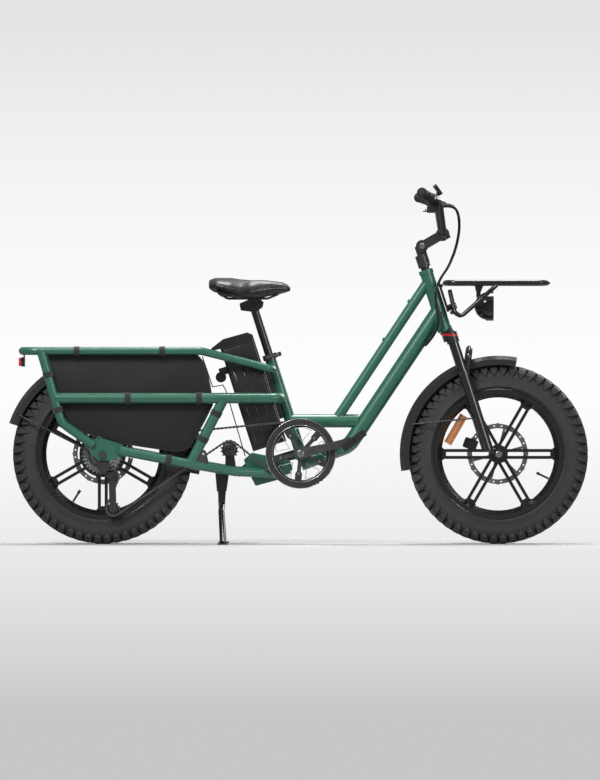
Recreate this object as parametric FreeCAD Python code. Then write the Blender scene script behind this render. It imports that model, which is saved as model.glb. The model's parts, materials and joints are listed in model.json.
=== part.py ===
# Long-tail electric cargo bicycle: step-through frame, 20 x 4.0 tyres on six-spoke cast wheels,
# suspension fork, front rack on the head tube, side panels, slide-out battery and a two-leg stand.
# Millimetres. X points to the front, Y to the rider's left, Z up. The origin is on the ground,
# midway along the bicycle. The chain side is -Y. Angles in a wheel are counted from +X towards +Z.
import FreeCAD, Part
import math
import os

V = FreeCAD.Vector

# ---- fits and clearances -------------------------------------------------------------------
RUN_FIT = 0.05             # radial clearance of a shaft turning or sliding in its bore
BODY_GAP = 0.5             # gap between faces of pieces that move past each other
SKIN_GAP = 0.3             # gap between a cover and what it covers

# ---- wheels --------------------------------------------------------------------------------
FRONT_AXLE_X = 639.0
REAR_AXLE_X = -628.0
TYRE_R = 288.0
TYRE_HALF = 50.0
TYRE_WALL = 5.0
RIM_LIP_R = 208.0
RIM_HALF = 41.0
RIM_INNER_R = 181.0
SPOKE_COUNT = 6
SPOKE_BAR = 10.0           # width of one bar of a double spoke
SPOKE_GAP = 12.0           # gap between the two bars
SPOKE_THICK = 16.0
AXLE_R = 7.0
FRONT_HUB_R = 30.0
REAR_HUB_R = 74.0
FRONT_HUB_HALF = 50.0
REAR_HUB_HALF = 44.0
FRONT_SPOKE_TURN = 0.0     # angle of the first spoke, degrees
REAR_SPOKE_TURN = 30.0
ROTOR_R = 99.0
ROTOR_THICK = 2.0
ROTOR_RING = 17.0
ROTOR_Y = 52.0
FRONT_VALVE_ANGLE = -26.0
REAR_VALVE_ANGLE = -122.0

# ---- fenders -------------------------------------------------------------------------------
FENDER_R = 315.0
FENDER_SKIRT_R = 285.0
FENDER_HALF = 55.0
FENDER_WALL = 2.5
FRONT_FENDER_SPAN = (79.0, 190.0)
REAR_FENDER_SPAN = (-12.0, 161.66)

# ---- steering, fork, stem ------------------------------------------------------------------
HEAD_ANGLE = 72.3
HEAD_TOP = V(407, 0, 878)
HEAD_LENGTH = 206.0
HEAD_R = 22.0
STEERER_R = 14.3
LEG_Y = 75.0               # fork leg centre lines
LEG_AHEAD = 14.0           # fork legs ahead of the steering axis
STANCHION_R = 15.0
LOWER_LEG_R = 17.0
CROWN_DROP = 22.0          # from the head tube's lower end to the middle of the crown
LOWER_TOP = 345.0          # from the head tube's top down to the mouth of the lower legs
FORK_TRAVEL = 50.0
STEM_BASE_R = 20.0
STEM_PIVOT_UP = 76.0
STEM_PIVOT_AHEAD = 12.0
STEM_REACH = 76.0
STEM_ANGLE = 30.0
STEM_BOSS_R = 20.0
BAR_R = 12.7
BAR_WALL = 2.4
BAR_TOP_X = 447.0
BAR_TOP_Z = 1091.0
BAR_TOP_Y = 118.0
GRIP_END = V(389, 326, 1118)
GRIP_R = 16.5
GRIP_LENGTH = 128.0

# ---- frame tubes ---------------------------------------------------------------------------
TOP_TUBE_R = 16.0
DOWN_TUBE_R = 25.0
STRUT_R = 21.5
SEAT_TUBE_R = 18.0
SEAT_BORE_R = 13.6
TUBE_WALL = 2.2
SEAT_ANGLE = 72.3
BB = V(6, 0, 290)
BB_R = 24.0
BB_HALF = 50.0
SEAT_TOP_DROP = 606.0      # height of the seat tube's mouth
STRUT_Z = 394.0
DOWN_BEND = V(162, 0, 316)

# ---- rear carrier --------------------------------------------------------------------------
RAIL_Y = 105.0
TOP_RAIL_Z = 618.0
TOP_RAIL_R = 12.5
TOP_RAIL_REAR_X = -883.0
MID_RAIL_Z = 467.0
MID_RAIL_R = 17.0
UPRIGHT_R = 14.0
STAY_R = 15.5
DIAGONAL_R = 15.5
DROPOUT_Y = 101.0
DROPOUT_THICK = 8.0
PANEL_Y = 84.0
PANEL_THICK = 3.0
STRAP_WIDTH = 18.0
STRAP_THICK = 1.6

# ---- drive train ---------------------------------------------------------------------------
CHAIN_Y = -74.0
CHAIN_PITCH = 12.7
RING_TEETH = 52
COG_TEETH = (32, 28, 24, 22, 18, 15, 13)
CHAIN_COG = 3              # which cog the chain is on
COG_STEP = 5.0
COG_THICK = 2.0
PLATE_INNER = 2.1          # inner face of a chain side plate from the chain's middle
PLATE_OUTER = 3.2
PLATE_HEIGHT = 8.0
IDLER_TEETH = 14
JOCKEY_TEETH = 11
IDLER = V(-221, CHAIN_Y, 302)
UPPER_JOCKEY = V(-597, CHAIN_Y, 216)
LOWER_JOCKEY = V(-593, CHAIN_Y, 114)
CRANK_LENGTH = 175.0
CRANK_ANGLE = 13.8
SPINDLE_R = 8.5
BCD_R = 65.0
SPIDER_TURN = 48.5
GUARD_R = 112.0

# ---- saddle, battery, stand, racks ---------------------------------------------------------
SEATPOST_DOWN = 70.0
SEATPOST_UP = 90.0
BATTERY_LENGTH = 345.0
BATTERY_DEPTH = 112.0
BATTERY_HALF = 43.0
BATTERY_LIFT = 60.0
STAND_X = -246.0
STAND_PIVOT_Z = 176.0
STAND_FOOT_Y = 150.0
STAND_LEG_R = 9.5
RACK_Z = 836.0
RACK_TUBE_R = 8.0
RACK_HALF = 130.0
RACK_REAR_X = 470.0
RACK_FRONT_X = 795.0

HEAD_UP = V(-math.cos(math.radians(HEAD_ANGLE)), 0, math.sin(math.radians(HEAD_ANGLE)))
HEAD_FWD = V(HEAD_UP.z, 0, -HEAD_UP.x)
SEAT_UP = V(-math.cos(math.radians(SEAT_ANGLE)), 0, math.sin(math.radians(SEAT_ANGLE)))
SEAT_FWD = V(SEAT_UP.z, 0, -SEAT_UP.x)
FRONT_AXLE = V(FRONT_AXLE_X, 0, TYRE_R)
REAR_AXLE = V(REAR_AXLE_X, 0, TYRE_R)
Y = V(0, 1, 0)
Z = V(0, 0, 1)


# ---- shape helpers -------------------------------------------------------------------------
def head(ahead, up, y=0.0):
    """Point measured from the top of the head tube, along and ahead of the steering axis."""
    return HEAD_TOP + HEAD_FWD * ahead + HEAD_UP * up + V(0, y, 0)


def seat(up, ahead=0.0, y=0.0):
    """Point on the seat tube's axis, measured up from the crank axis."""
    return BB + SEAT_UP * up + SEAT_FWD * ahead + V(0, y, 0)


def rod(start, end, radius, bore=0.0):
    """Round bar or tube between two points."""
    along = end - start
    bar = Part.makeCylinder(radius, along.Length, start, along)
    if bore > 0:
        past = along * (1 / along.Length)
        bar = bar.cut(Part.makeCylinder(bore, along.Length + 2, start - past, along))
    return bar


def disc(centre, radius, y0, y1, bore=0.0):
    """Round plate square to Y."""
    base = V(centre.x, y0, centre.z)
    return rod(base, V(centre.x, y1, centre.z), radius, bore)


def rounded(points, radii, closed=False):
    """Edges of a line through points whose corners are arcs of the given radii."""
    count = len(points)
    if not isinstance(radii, (list, tuple)):
        radii = [radii] * count
    edges = []
    last = points[0]
    inner = range(count) if closed else range(1, count - 1)
    first = None
    for i in inner:
        before, here, after = points[i - 1], points[i], points[(i + 1) % count]
        u = (before - here).normalize()
        w = (after - here).normalize()
        half = math.acos(max(-1.0, min(1.0, u.dot(w)))) / 2
        radius = radii[i]
        if radius <= 0 or abs(half - math.pi / 2) < 1e-4:
            a = b = here
        else:
            reach = radius / math.tan(half)
            a = here + u * reach
            b = here + w * reach
        if first is None and closed:
            first = a
        elif (a - last).Length > 1e-6:
            edges.append(Part.LineSegment(last, a).toShape())
        if (a - b).Length > 1e-6:
            middle = here + (u + w).normalize() * (radius / math.sin(half) - radius)
            edges.append(Part.Arc(a, middle, b).toShape())
        last = b
    end = first if closed else points[-1]
    if (end - last).Length > 1e-6:
        edges.append(Part.LineSegment(last, end).toShape())
    return Part.Wire(edges)


def sweep(points, bend, radius, bore=0.0):
    """Round tube along straight runs joined by tangent bends."""
    path = rounded(points, bend)
    along = points[1] - points[0]

    def pipe(r):
        ring = Part.Wire(Part.Circle(points[0], along, r).toShape())
        return path.makePipeShell([ring], True, False)

    tube = pipe(radius)
    if bore > 0:
        tube = tube.cut(pipe(bore))
    return tube


def cable(points, radius, bend=None):
    """Cable along chosen points, each bend as large as its two runs allow."""
    radii = [0.0]
    for before, here, after in zip(points, points[1:], points[2:]):
        run = min((here - before).Length, (after - here).Length)
        turn = (here - before).getAngle(after - here)
        radii.append(bend or 0.45 * run / math.tan(turn / 2))
    radii.append(0.0)
    solid = sweep(points, radii, radius)
    share = solid.Volume / (math.pi * radius ** 2 * rounded(points, radii).Length)
    print("cable radii", [round(r, 1) for r in radii[1:-1]], "volume share", round(share, 4))
    return solid


def plate(points, y0, y1, corner=0.0):
    """Flat plate square to Y with rounded corners; points are (x, z)."""
    wire = rounded([V(x, y0, z) for x, z in points], corner, closed=True)
    return Part.Face(wire).extrude(V(0, y1 - y0, 0))


def turned(profile, centre, angle=360.0):
    """Body of revolution about Y; the profile is a closed list of (radius, y)."""
    points = [V(centre.x + r, y, centre.z) for r, y in profile]
    face = Part.Face(Part.makePolygon(points + points[:1]))
    return face.revolve(V(centre.x, 0, centre.z), Y, angle)


def mirrored(shape):
    """The same shape on the other side of the bicycle."""
    return shape.mirror(V(0, 0, 0), Y)


def both(shape):
    """A shape and its mirror image, as two separate solids."""
    return Part.makeCompound([shape, mirrored(shape)])


def fused(*shapes):
    """One solid from touching shapes."""
    result = shapes[0].fuse(list(shapes[1:]))
    return result.removeSplitter()


def polar(centre, radius, angle, y=0.0):
    """Point at an angle in a wheel's plane."""
    turn = math.radians(angle)
    return V(centre.x + radius * math.cos(turn), y, centre.z + radius * math.sin(turn))


# ---- wheels --------------------------------------------------------------------------------
def tyre(axle):
    """Tyre: a round carcass open to the rim."""
    bead = RIM_LIP_R - 6
    mid = (TYRE_R + bead) / 2
    heel = RIM_HALF - 8
    side = [(bead, heel), (RIM_LIP_R + BODY_GAP, heel), (RIM_LIP_R + 3, TYRE_HALF - 6), (mid, TYRE_HALF),
            (TYRE_R, TYRE_HALF - 8)]
    points = [V(axle.x + r, -y, axle.z) for r, y in side] + [V(axle.x + r, y, axle.z) for r, y in reversed(side)]
    outer = rounded(points, [0, 0, 0, 30, 30, 30, 30, 0, 0, 0])
    close = Part.LineSegment(points[-1], points[0]).toShape()
    body = Part.Face(Part.Wire(outer.Edges + [close])).revolve(axle, Y, 360)
    room_r = TYRE_R - TYRE_WALL * 2
    half = TYRE_HALF - TYRE_WALL
    lip = heel - TYRE_WALL
    room = turned([(bead - 5, -lip), (bead + 12, -lip), (bead + 26, -half), (mid + 10, -half),
                   (room_r, -half + 18), (room_r, half - 18), (mid + 10, half), (bead + 26, half),
                   (bead + 12, lip), (bead - 5, lip)], axle)
    return body.cut(room)


def rim_ring(axle):
    """Cast rim: two lips, bead seats and a drop centre."""
    seat_r = RIM_LIP_R - 6 - SKIN_GAP
    return turned([(RIM_LIP_R, -RIM_HALF), (RIM_LIP_R, -RIM_HALF + 4), (seat_r, -RIM_HALF + 6), (seat_r, -20),
                   (seat_r - 8, -14), (seat_r - 8, 14), (seat_r, 20), (seat_r, RIM_HALF - 6),
                   (RIM_LIP_R, RIM_HALF - 4), (RIM_LIP_R, RIM_HALF), (RIM_LIP_R - 14, RIM_HALF),
                   (RIM_INNER_R, 18), (RIM_INNER_R, -18), (RIM_LIP_R - 14, -RIM_HALF)], axle)


def cast_wheel(axle, hub_r, hub_half, turn, bore):
    """One casting: rim, double-bar spokes with flared feet, and the hub shell."""
    pieces = [rim_ring(axle), disc(axle, hub_r, -hub_half, hub_half)]
    offset = (SPOKE_BAR + SPOKE_GAP) / 2
    for i in range(SPOKE_COUNT):
        for side in (-offset, offset):
            half = SPOKE_BAR / 2
            bar = Part.makeBox(RIM_INNER_R - hub_r + 8, SPOKE_THICK, SPOKE_BAR,
                               V(hub_r - 6, -SPOKE_THICK / 2, side - half))
            pieces.append(placed_in_wheel(bar, axle, turn + i * 360 / SPOKE_COUNT))
        foot = plate([(RIM_INNER_R - 14, -offset), (RIM_INNER_R + 3, -offset - 14),
                      (RIM_INNER_R + 3, offset + 14), (RIM_INNER_R - 14, offset)],
                     -SPOKE_THICK / 2, SPOKE_THICK / 2)
        pieces.append(placed_in_wheel(foot, axle, turn + i * 360 / SPOKE_COUNT))
    return fused(*pieces).cut(disc(axle, bore, -hub_half - 5, hub_half + 5))


def placed_in_wheel(shape, axle, angle):
    """Turn a shape drawn along +X into its place round an axle."""
    moved = shape.copy()
    moved.rotate(V(0, 0, 0), V(0, -1, 0), angle)
    moved.translate(axle)
    return moved


def rotor(axle):
    """Brake disc: a slotted ring on six arms, with a wavy outer edge."""
    ring = disc(axle, ROTOR_R - 2, ROTOR_Y, ROTOR_Y + ROTOR_THICK, ROTOR_R - ROTOR_RING)
    centre = disc(axle, 24, ROTOR_Y, ROTOR_Y + ROTOR_THICK)
    arms = [placed_in_wheel(Part.makeBox(ROTOR_R - ROTOR_RING - 14, ROTOR_THICK, 8, V(20, ROTOR_Y, -4)),
                            axle, 15 + 60 * i) for i in range(6)]
    waves = [placed_in_wheel(Part.makeCylinder(8, ROTOR_THICK, V(ROTOR_R - 8, ROTOR_Y, 0), Y), axle, 30 * i)
             for i in range(12)]
    body = fused(ring, centre, *arms, *waves)
    holes = [placed_in_wheel(Part.makeCylinder(2.6, 6, V(ROTOR_R - 9, ROTOR_Y - 2, 0), Y), axle, 15 * i + 7)
             for i in range(24)]
    return body.cut(Part.makeCompound(holes)).cut(disc(axle, AXLE_R + 9, ROTOR_Y - 1, ROTOR_Y + 4))


def rotor_carrier(axle, hub_half):
    """Boss between the hub shell and the brake disc."""
    return disc(axle, 22, hub_half, ROTOR_Y, AXLE_R + RUN_FIT)


def valve(axle, angle):
    """Valve stem through the rim."""
    body = rod(polar(axle, RIM_INNER_R - 36, angle), polar(axle, RIM_INNER_R - 1, angle), 3.4)
    cap = rod(polar(axle, RIM_INNER_R - 44, angle), polar(axle, RIM_INNER_R - 32, angle), 4.6)
    return fused(body, cap)


def wheel_reflector(axle, angle, reach):
    """Long reflector clipped across two spokes."""
    body = Part.makeBox(11, 7, 104, V(reach, -SPOKE_THICK / 2 - 8.5, -52))
    body = body.fuse(Part.makeBox(26, 4, 104, V(reach - 8, -SPOKE_THICK / 2 - 4.5 - SKIN_GAP, -52)))
    return placed_in_wheel(body, axle, angle)


# ---- front end -----------------------------------------------------------------------------
def fender(axle, span):
    """U-section fender along an arc over the tyre."""
    start, end = span
    outer = [(FENDER_SKIRT_R, -FENDER_HALF), (FENDER_R - 12, -FENDER_HALF), (FENDER_R, -FENDER_HALF + 22),
             (FENDER_R, FENDER_HALF - 22), (FENDER_R - 12, FENDER_HALF), (FENDER_SKIRT_R, FENDER_HALF)]
    w = FENDER_WALL
    inner = [(FENDER_SKIRT_R, FENDER_HALF - w), (FENDER_R - 13, FENDER_HALF - w),
             (FENDER_R - w, FENDER_HALF - 23), (FENDER_R - w, -FENDER_HALF + 23),
             (FENDER_R - 13, -FENDER_HALF + w), (FENDER_SKIRT_R, -FENDER_HALF + w)]
    shell = turned(outer + inner, V(0, 0, 0), start - end)
    shell.rotate(V(0, 0, 0), V(0, -1, 0), start)
    shell.translate(axle)
    return shell


def steerer_and_crown():
    """Steerer tube, fork crown and its two clamp sleeves."""
    low = head(0, -HEAD_LENGTH - CROWN_DROP - 12)
    tube = rod(low, head(0, 36), STEERER_R, STEERER_R - 3)
    top, bottom = -HEAD_LENGTH - BODY_GAP - 6, -HEAD_LENGTH - CROWN_DROP - 22
    sleeves = [rod(head(LEG_AHEAD, bottom, s * LEG_Y), head(LEG_AHEAD, top - 4, s * LEG_Y), STANCHION_R + 4)
               for s in (-1, 1)]
    bridge = Part.makeBox(42, 2 * LEG_Y, 26, V(-14, -LEG_Y, -HEAD_LENGTH - CROWN_DROP - 12))
    rise = CROWN_DROP - 15
    bridge = bridge.fuse(Part.makeBox(36, 2 * LEG_Y - 52, rise, V(-18, 26 - LEG_Y, -HEAD_LENGTH - CROWN_DROP + 14)))
    bridge = in_head_frame(bridge)
    body = fused(tube, bridge, *sleeves)
    bores = [rod(head(LEG_AHEAD, bottom - 1, s * LEG_Y), head(LEG_AHEAD, top - 12, s * LEG_Y), STANCHION_R)
             for s in (-1, 1)]
    return body.cut(Part.makeCompound(bores))


def in_head_frame(shape):
    """Tilt a shape drawn with Z up and X ahead into the steering axis."""
    moved = shape.copy()
    moved.rotate(V(0, 0, 0), Y, HEAD_ANGLE - 90)
    moved.translate(HEAD_TOP)
    return moved


def stanchion(side):
    """Polished inner fork leg, from the crown into the lower leg."""
    top = -HEAD_LENGTH - BODY_GAP - 22
    low = -LOWER_TOP - 130
    return rod(head(LEG_AHEAD, low, side * LEG_Y), head(LEG_AHEAD, top, side * LEG_Y), STANCHION_R)


def adjuster_rings():
    """Red rings on the crown sleeves with their knobs."""
    top = -HEAD_LENGTH - BODY_GAP - 10
    rings = [rod(head(LEG_AHEAD, top, s * LEG_Y), head(LEG_AHEAD, top + 6, s * LEG_Y), 12) for s in (-1, 1)]
    knobs = [rod(head(LEG_AHEAD, top + 6, s * LEG_Y), head(LEG_AHEAD, top + 15, s * LEG_Y), 9) for s in (-1, 1)]
    return Part.makeCompound([fused(r, k) for r, k in zip(rings, knobs)])


def fork_lowers():
    """Both lower legs, their axle lugs and the brace arch, cast in one piece."""
    axle_drop = (HEAD_TOP - FRONT_AXLE).dot(HEAD_UP)
    parts = []
    for s in (-1, 1):
        y = s * LEG_Y
        leg = rod(head(LEG_AHEAD, -axle_drop + 22, y), head(LEG_AHEAD, -LOWER_TOP, y), LOWER_LEG_R)
        seal = rod(head(LEG_AHEAD, -LOWER_TOP - 16, y), head(LEG_AHEAD, -LOWER_TOP, y), LOWER_LEG_R + 2.5)
        lug_top = head(LEG_AHEAD, -axle_drop + 30, y)
        lug = rod(V(FRONT_AXLE_X, y, TYRE_R), lug_top, 8.9)
        eye = disc(FRONT_AXLE, 17, y - 9, y + 9)
        bore = rod(head(LEG_AHEAD, -axle_drop + 60, y), head(LEG_AHEAD, -LOWER_TOP + 1, y), STANCHION_R + RUN_FIT)
        parts.append(fused(leg, seal, lug, eye).cut(bore).cut(disc(FRONT_AXLE, AXLE_R, y - 20, y + 20)))
    rise = head(56, -LOWER_TOP + 62)
    arch = sweep([head(LEG_AHEAD + 10, -LOWER_TOP - 8, -LEG_Y), V(rise.x, -LEG_Y, rise.z),
                  V(rise.x, LEG_Y, rise.z), head(LEG_AHEAD + 10, -LOWER_TOP - 8, LEG_Y)], 30, 10)
    for s in (-1, 1):
        y = s * LEG_Y
        arch = arch.cut(rod(head(LEG_AHEAD, -LOWER_TOP - 60, y), head(LEG_AHEAD, -LOWER_TOP + 90, y),
                            STANCHION_R + RUN_FIT))
    return fused(parts[0], parts[1], arch)


def axle_with_nuts(axle, half):
    """Axle rod with an end nut each side."""
    bar = disc(axle, AXLE_R, -half, half)
    nuts = [disc(axle, 12, s * half - (9 if s > 0 else 0), s * half + (9 if s < 0 else 0)) for s in (-1, 1)]
    return fused(bar, *nuts)


def caliper(axle, angle):
    """Disc brake caliper that straddles the disc's edge at an angle round the axle."""
    gap = Part.makeBox(60, ROTOR_THICK + 2.4, 46, V(-30, ROTOR_Y - 1.2, -34))
    body = Part.makeBox(34, 26, 44, V(-17, ROTOR_Y - 7, -22))
    body = body.makeFillet(5, [e for e in body.Edges if abs(e.Length - 26) < 0.01])
    body = body.cut(gap)
    body.translate(V(0, 0, ROTOR_R - 6))
    return placed_in_wheel(body, axle, angle - 90)


# ---- cockpit -------------------------------------------------------------------------------
STEM_PIVOT = head(STEM_PIVOT_AHEAD, STEM_PIVOT_UP)
BAR_CLAMP = STEM_PIVOT + V(STEM_REACH * math.cos(math.radians(STEM_ANGLE)), 0,
                           STEM_REACH * math.sin(math.radians(STEM_ANGLE)))
BAR_SHOULDER = V(BAR_TOP_X, -BAR_TOP_Y, BAR_TOP_Z)
GRIP_OUT = V(GRIP_END.x, -GRIP_END.y, GRIP_END.z)
GRIP_ALONG = (GRIP_OUT - BAR_SHOULDER).normalize()


def stem_base():
    """Stem foot clamped on the steerer, with the ear that carries the tilting arm."""
    foot = rod(head(0, 9), head(0, 50), STEM_BASE_R)
    ear = rod(STEM_PIVOT + V(0, -8, 0), STEM_PIVOT + V(0, 8, 0), STEM_BOSS_R)
    neck = in_head_frame(Part.makeBox(32, 16, 60, V(-12, -8, 20)))
    body = fused(foot, ear, neck)
    body = body.cut(rod(head(0, 0), head(0, 36 + BODY_GAP), STEERER_R + RUN_FIT))
    return body.cut(rod(STEM_PIVOT + V(0, -30, 0), STEM_PIVOT + V(0, 30, 0), 6))


def stem_arm():
    """Tilting arm: a fork round the ear, ending in the rear half of the bar clamp."""
    arm_dir = (BAR_CLAMP - STEM_PIVOT).normalize()
    outline = turned_box(STEM_PIVOT, BAR_CLAMP - arm_dir * 3, 30, 40)
    boss = rod(STEM_PIVOT + V(0, -20, 0), STEM_PIVOT + V(0, 20, 0), STEM_BOSS_R - 2)
    clamp = rod(BAR_CLAMP + V(0, -24, 0), BAR_CLAMP + V(0, 24, 0), BAR_R + 9)
    body = fused(outline, boss, clamp)
    slot = Part.makeCylinder(STEM_BOSS_R + 3, 16 + 2 * BODY_GAP, STEM_PIVOT - V(0, 8 + BODY_GAP, 0), Y)
    body = body.cut(slot).cut(rod(STEM_PIVOT - V(0, 30, 0), STEM_PIVOT + V(0, 30, 0), 6 + RUN_FIT))
    body = body.cut(rod(BAR_CLAMP - V(0, 30, 0), BAR_CLAMP + V(0, 30, 0), BAR_R + 0.02))
    front = turned_box(BAR_CLAMP + arm_dir * 1.0, BAR_CLAMP + arm_dir * 60, 60, 60)
    return body.cut(front)


def turned_box(start, end, depth, width):
    """Rectangular bar between two points in the XZ plane."""
    along = (end - start).normalize()
    side = V(-along.z, 0, along.x) * (depth / 2)
    corners = [start - side, end - side, end + side, start + side]
    base = [c - V(0, width / 2, 0) for c in corners]
    return Part.Face(Part.makePolygon(base + base[:1])).extrude(V(0, width, 0))


def stem_faceplate():
    """Front half of the bar clamp with its four bolt heads."""
    arm_dir = (BAR_CLAMP - STEM_PIVOT).normalize()
    ring = rod(BAR_CLAMP + V(0, -24, 0), BAR_CLAMP + V(0, 24, 0), BAR_R + 9, BAR_R + 0.02)
    body = ring.common(turned_box(BAR_CLAMP + arm_dir * 2.5, BAR_CLAMP + arm_dir * 60, 70, 80))
    side = V(-arm_dir.z, 0, arm_dir.x)
    bolts = [rod(BAR_CLAMP + side * (u * 17) + V(0, y, 0) + arm_dir * 6,
                 BAR_CLAMP + side * (u * 17) + V(0, y, 0) + arm_dir * 18, 4) for u in (-1, 1) for y in (-15, 15)]
    core = rod(BAR_CLAMP - V(0, 40, 0), BAR_CLAMP + V(0, 40, 0), BAR_R + 0.02)
    return fused(body, *bolts).cut(core)


def handlebar():
    """High-rise, swept-back bar in one bent tube."""
    half = [GRIP_OUT, BAR_SHOULDER, V(BAR_CLAMP.x, -56, BAR_CLAMP.z)]
    points = half + [V(p.x, -p.y, p.z) for p in reversed(half)]
    return sweep(points, 30, BAR_R, BAR_R - BAR_WALL)


def on_bar(out):
    """Point on the right-hand straight of the bar, measured back from the grip's outer end."""
    return GRIP_OUT - GRIP_ALONG * out


def grip():
    """Right-hand rubber grip with an end flange."""
    sleeve = rod(on_bar(GRIP_LENGTH), on_bar(0), GRIP_R, BAR_R + 0.02)
    cap = rod(on_bar(0), on_bar(-5), GRIP_R + 1.5)
    collar = rod(on_bar(GRIP_LENGTH), on_bar(GRIP_LENGTH - 6), GRIP_R + 2.5, BAR_R + 0.02)
    return fused(sleeve, cap, collar)


LEVER_PIVOT = on_bar(GRIP_LENGTH + 15) + V(30, 0, -14)


def brake_perch():
    """Right-hand lever bracket: bar clamp, body and the pivot ears."""
    ring = rod(on_bar(GRIP_LENGTH + 22), on_bar(GRIP_LENGTH + 8), BAR_R + 5, BAR_R + 0.02)
    arm = rod(on_bar(GRIP_LENGTH + 15) + V(15, 0, -7), LEVER_PIVOT, 6)
    ears = [rod(LEVER_PIVOT + Z * a, LEVER_PIVOT + Z * (a + 4), 9) for a in (-8, 4)]
    tail = rod(LEVER_PIVOT + V(-2, 4, 0), LEVER_PIVOT + V(8, 30, 2), 5.5)
    body = fused(ring, arm, tail, *ears)
    body = body.cut(Part.makeCylinder(12, 8 + 2 * BODY_GAP - 1, LEVER_PIVOT - Z * (4), Z))
    pin = rod(LEVER_PIVOT - Z * 8, LEVER_PIVOT + Z * 8, 2.4)
    core = rod(on_bar(GRIP_LENGTH + 40), on_bar(GRIP_LENGTH), BAR_R + 0.02)
    return fused(body, pin).cut(core)


def brake_lever():
    """Right-hand brake lever blade."""
    boss = rod(LEVER_PIVOT - Z * 3.2, LEVER_PIVOT + Z * 3.2, 8)
    tip = LEVER_PIVOT + GRIP_ALONG * 112 + V(6, 0, 0)
    elbow = LEVER_PIVOT + GRIP_ALONG * 28 + V(16, 0, 0)
    blade = sweep([LEVER_PIVOT + V(3, -2, 0), elbow, tip], 20, 3.1)
    knob = Part.makeSphere(5, tip)
    return fused(boss, blade, knob).cut(rod(LEVER_PIVOT - Z * 9, LEVER_PIVOT + Z * 9, 2.4 + RUN_FIT))


def control_pod(depth):
    """Right-hand control body clamped inboard of the brake bracket."""
    ring = rod(on_bar(GRIP_LENGTH + 38), on_bar(GRIP_LENGTH + 26), BAR_R + 5, BAR_R + 0.02)
    box = Part.makeBox(34, 13, depth, V(-22, -6.5, 0))
    box = box.makeFillet(4, [e for e in box.Edges if abs(e.Length - depth) < 0.01])
    box.translate(POD_MIDDLE - Z * (depth + BAR_R + 1))
    core = rod(on_bar(GRIP_LENGTH + 60), on_bar(GRIP_LENGTH), BAR_R + 0.02)
    return fused(ring, box).cut(core)


POD_DEPTH = 20.0
POD_MIDDLE = on_bar(GRIP_LENGTH + 31) + V(4, 2, 0)
SHIFT_PIVOT = POD_MIDDLE - Z * (POD_DEPTH + BAR_R + 1)


def shift_lever():
    """Thumb lever of the gear shifter, under its pod."""
    hub = rod(SHIFT_PIVOT - Z * BODY_GAP, SHIFT_PIVOT - Z * 5, 6)
    paddle = Part.makeBox(36, 6, 3, SHIFT_PIVOT + V(-36, -3, -4.4))
    thumb = Part.makeBox(8, 16, 3.6, SHIFT_PIVOT + V(-40, -8, -4.7))
    thumb = thumb.makeFillet(3, [e for e in thumb.Edges if abs(e.Length - 3.6) < 0.01])
    return fused(hub, paddle, thumb)


BUTTON_TRAVEL = 1.0
BUTTON_R = 2.9
BUTTON_STEP = 3.4


def remote_button(step):
    """Push button on the left-hand control pod."""
    at = mirror_point(SHIFT_PIVOT) + V(-22 - BUTTON_TRAVEL - SKIN_GAP, 0, POD_DEPTH / 2)
    return rod(at + V(0, step, 0), at + V(-4, step, 0), BUTTON_R)


def mirror_point(point):
    """The matching point on the other side."""
    return V(point.x, -point.y, point.z)


def display():
    """Display housing on its bar bracket, tilted to the rider."""
    grip_at = mirror_point(on_bar(GRIP_LENGTH + 48))
    ring = rod(mirror_point(on_bar(GRIP_LENGTH + 58)), mirror_point(on_bar(GRIP_LENGTH + 46)), BAR_R + 5)
    case = Part.makeBox(12, 70, 38, V(-6, -35, -19))
    case = case.makeFillet(5, [e for e in case.Edges if abs(e.Length - 12) < 0.01])
    case.rotate(V(0, 0, 0), Y, -36)
    case.translate(grip_at + V(12, -12, 42))
    neck = rod(grip_at + V(8, 0, 8), grip_at + V(14, 0, 38), 5)
    body = fused(ring, neck, case)
    return body.cut(rod(mirror_point(on_bar(GRIP_LENGTH + 90)), mirror_point(on_bar(GRIP_LENGTH)), BAR_R + 0.02))


# ---- main frame ----------------------------------------------------------------------------
HEAD_BOTTOM = head(0, -HEAD_LENGTH)
TOP_TUBE_UPPER = head(0, -34)
TOP_TUBE_LOWER = V(118, 0, STRUT_Z)
DOWN_TUBE_UPPER = head(0, -138)


def head_tube_outer():
    """Outside of the head tube."""
    return rod(HEAD_BOTTOM, HEAD_TOP, HEAD_R)


def head_tube():
    """Head tube with thicker cup seats at both ends."""
    cups = [rod(head(0, -14), HEAD_TOP, HEAD_R + 2), rod(HEAD_BOTTOM, head(0, 14 - HEAD_LENGTH), HEAD_R + 2)]
    return fused(head_tube_outer(), *cups).cut(rod(head(0, -HEAD_LENGTH - 1), head(0, 1), HEAD_R - 3))


def headset():
    """Upper and lower bearings between the head tube and the steerer."""
    spans = ((-13, 0), (-HEAD_LENGTH, 13 - HEAD_LENGTH))
    return Part.makeCompound([rod(head(0, a), head(0, b), HEAD_R - 3 - 0.05, STEERER_R + RUN_FIT)
                              for a, b in spans])


def down_tube():
    """Down tube, bent to run level under the crank."""
    points = [DOWN_TUBE_UPPER, DOWN_BEND, V(BB.x, 0, BB.z - 32)]
    tube = sweep(points, 60, DOWN_TUBE_R, DOWN_TUBE_R - TUBE_WALL)
    return tube.cut(head_tube_outer()).cut(bb_outer())


def top_tube():
    """Top tube from the head tube to the level strut."""
    tube = rod(TOP_TUBE_UPPER, TOP_TUBE_LOWER, TOP_TUBE_R, TOP_TUBE_R - TUBE_WALL)
    tube = tube.cut(head_tube_outer()).cut(strut_outer())
    return tube.cut(bottle_boss_holes())


def strut_outer():
    """Outside of the level strut."""
    return rod(strut_start(), V(250, 0, STRUT_Z), STRUT_R)


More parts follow.
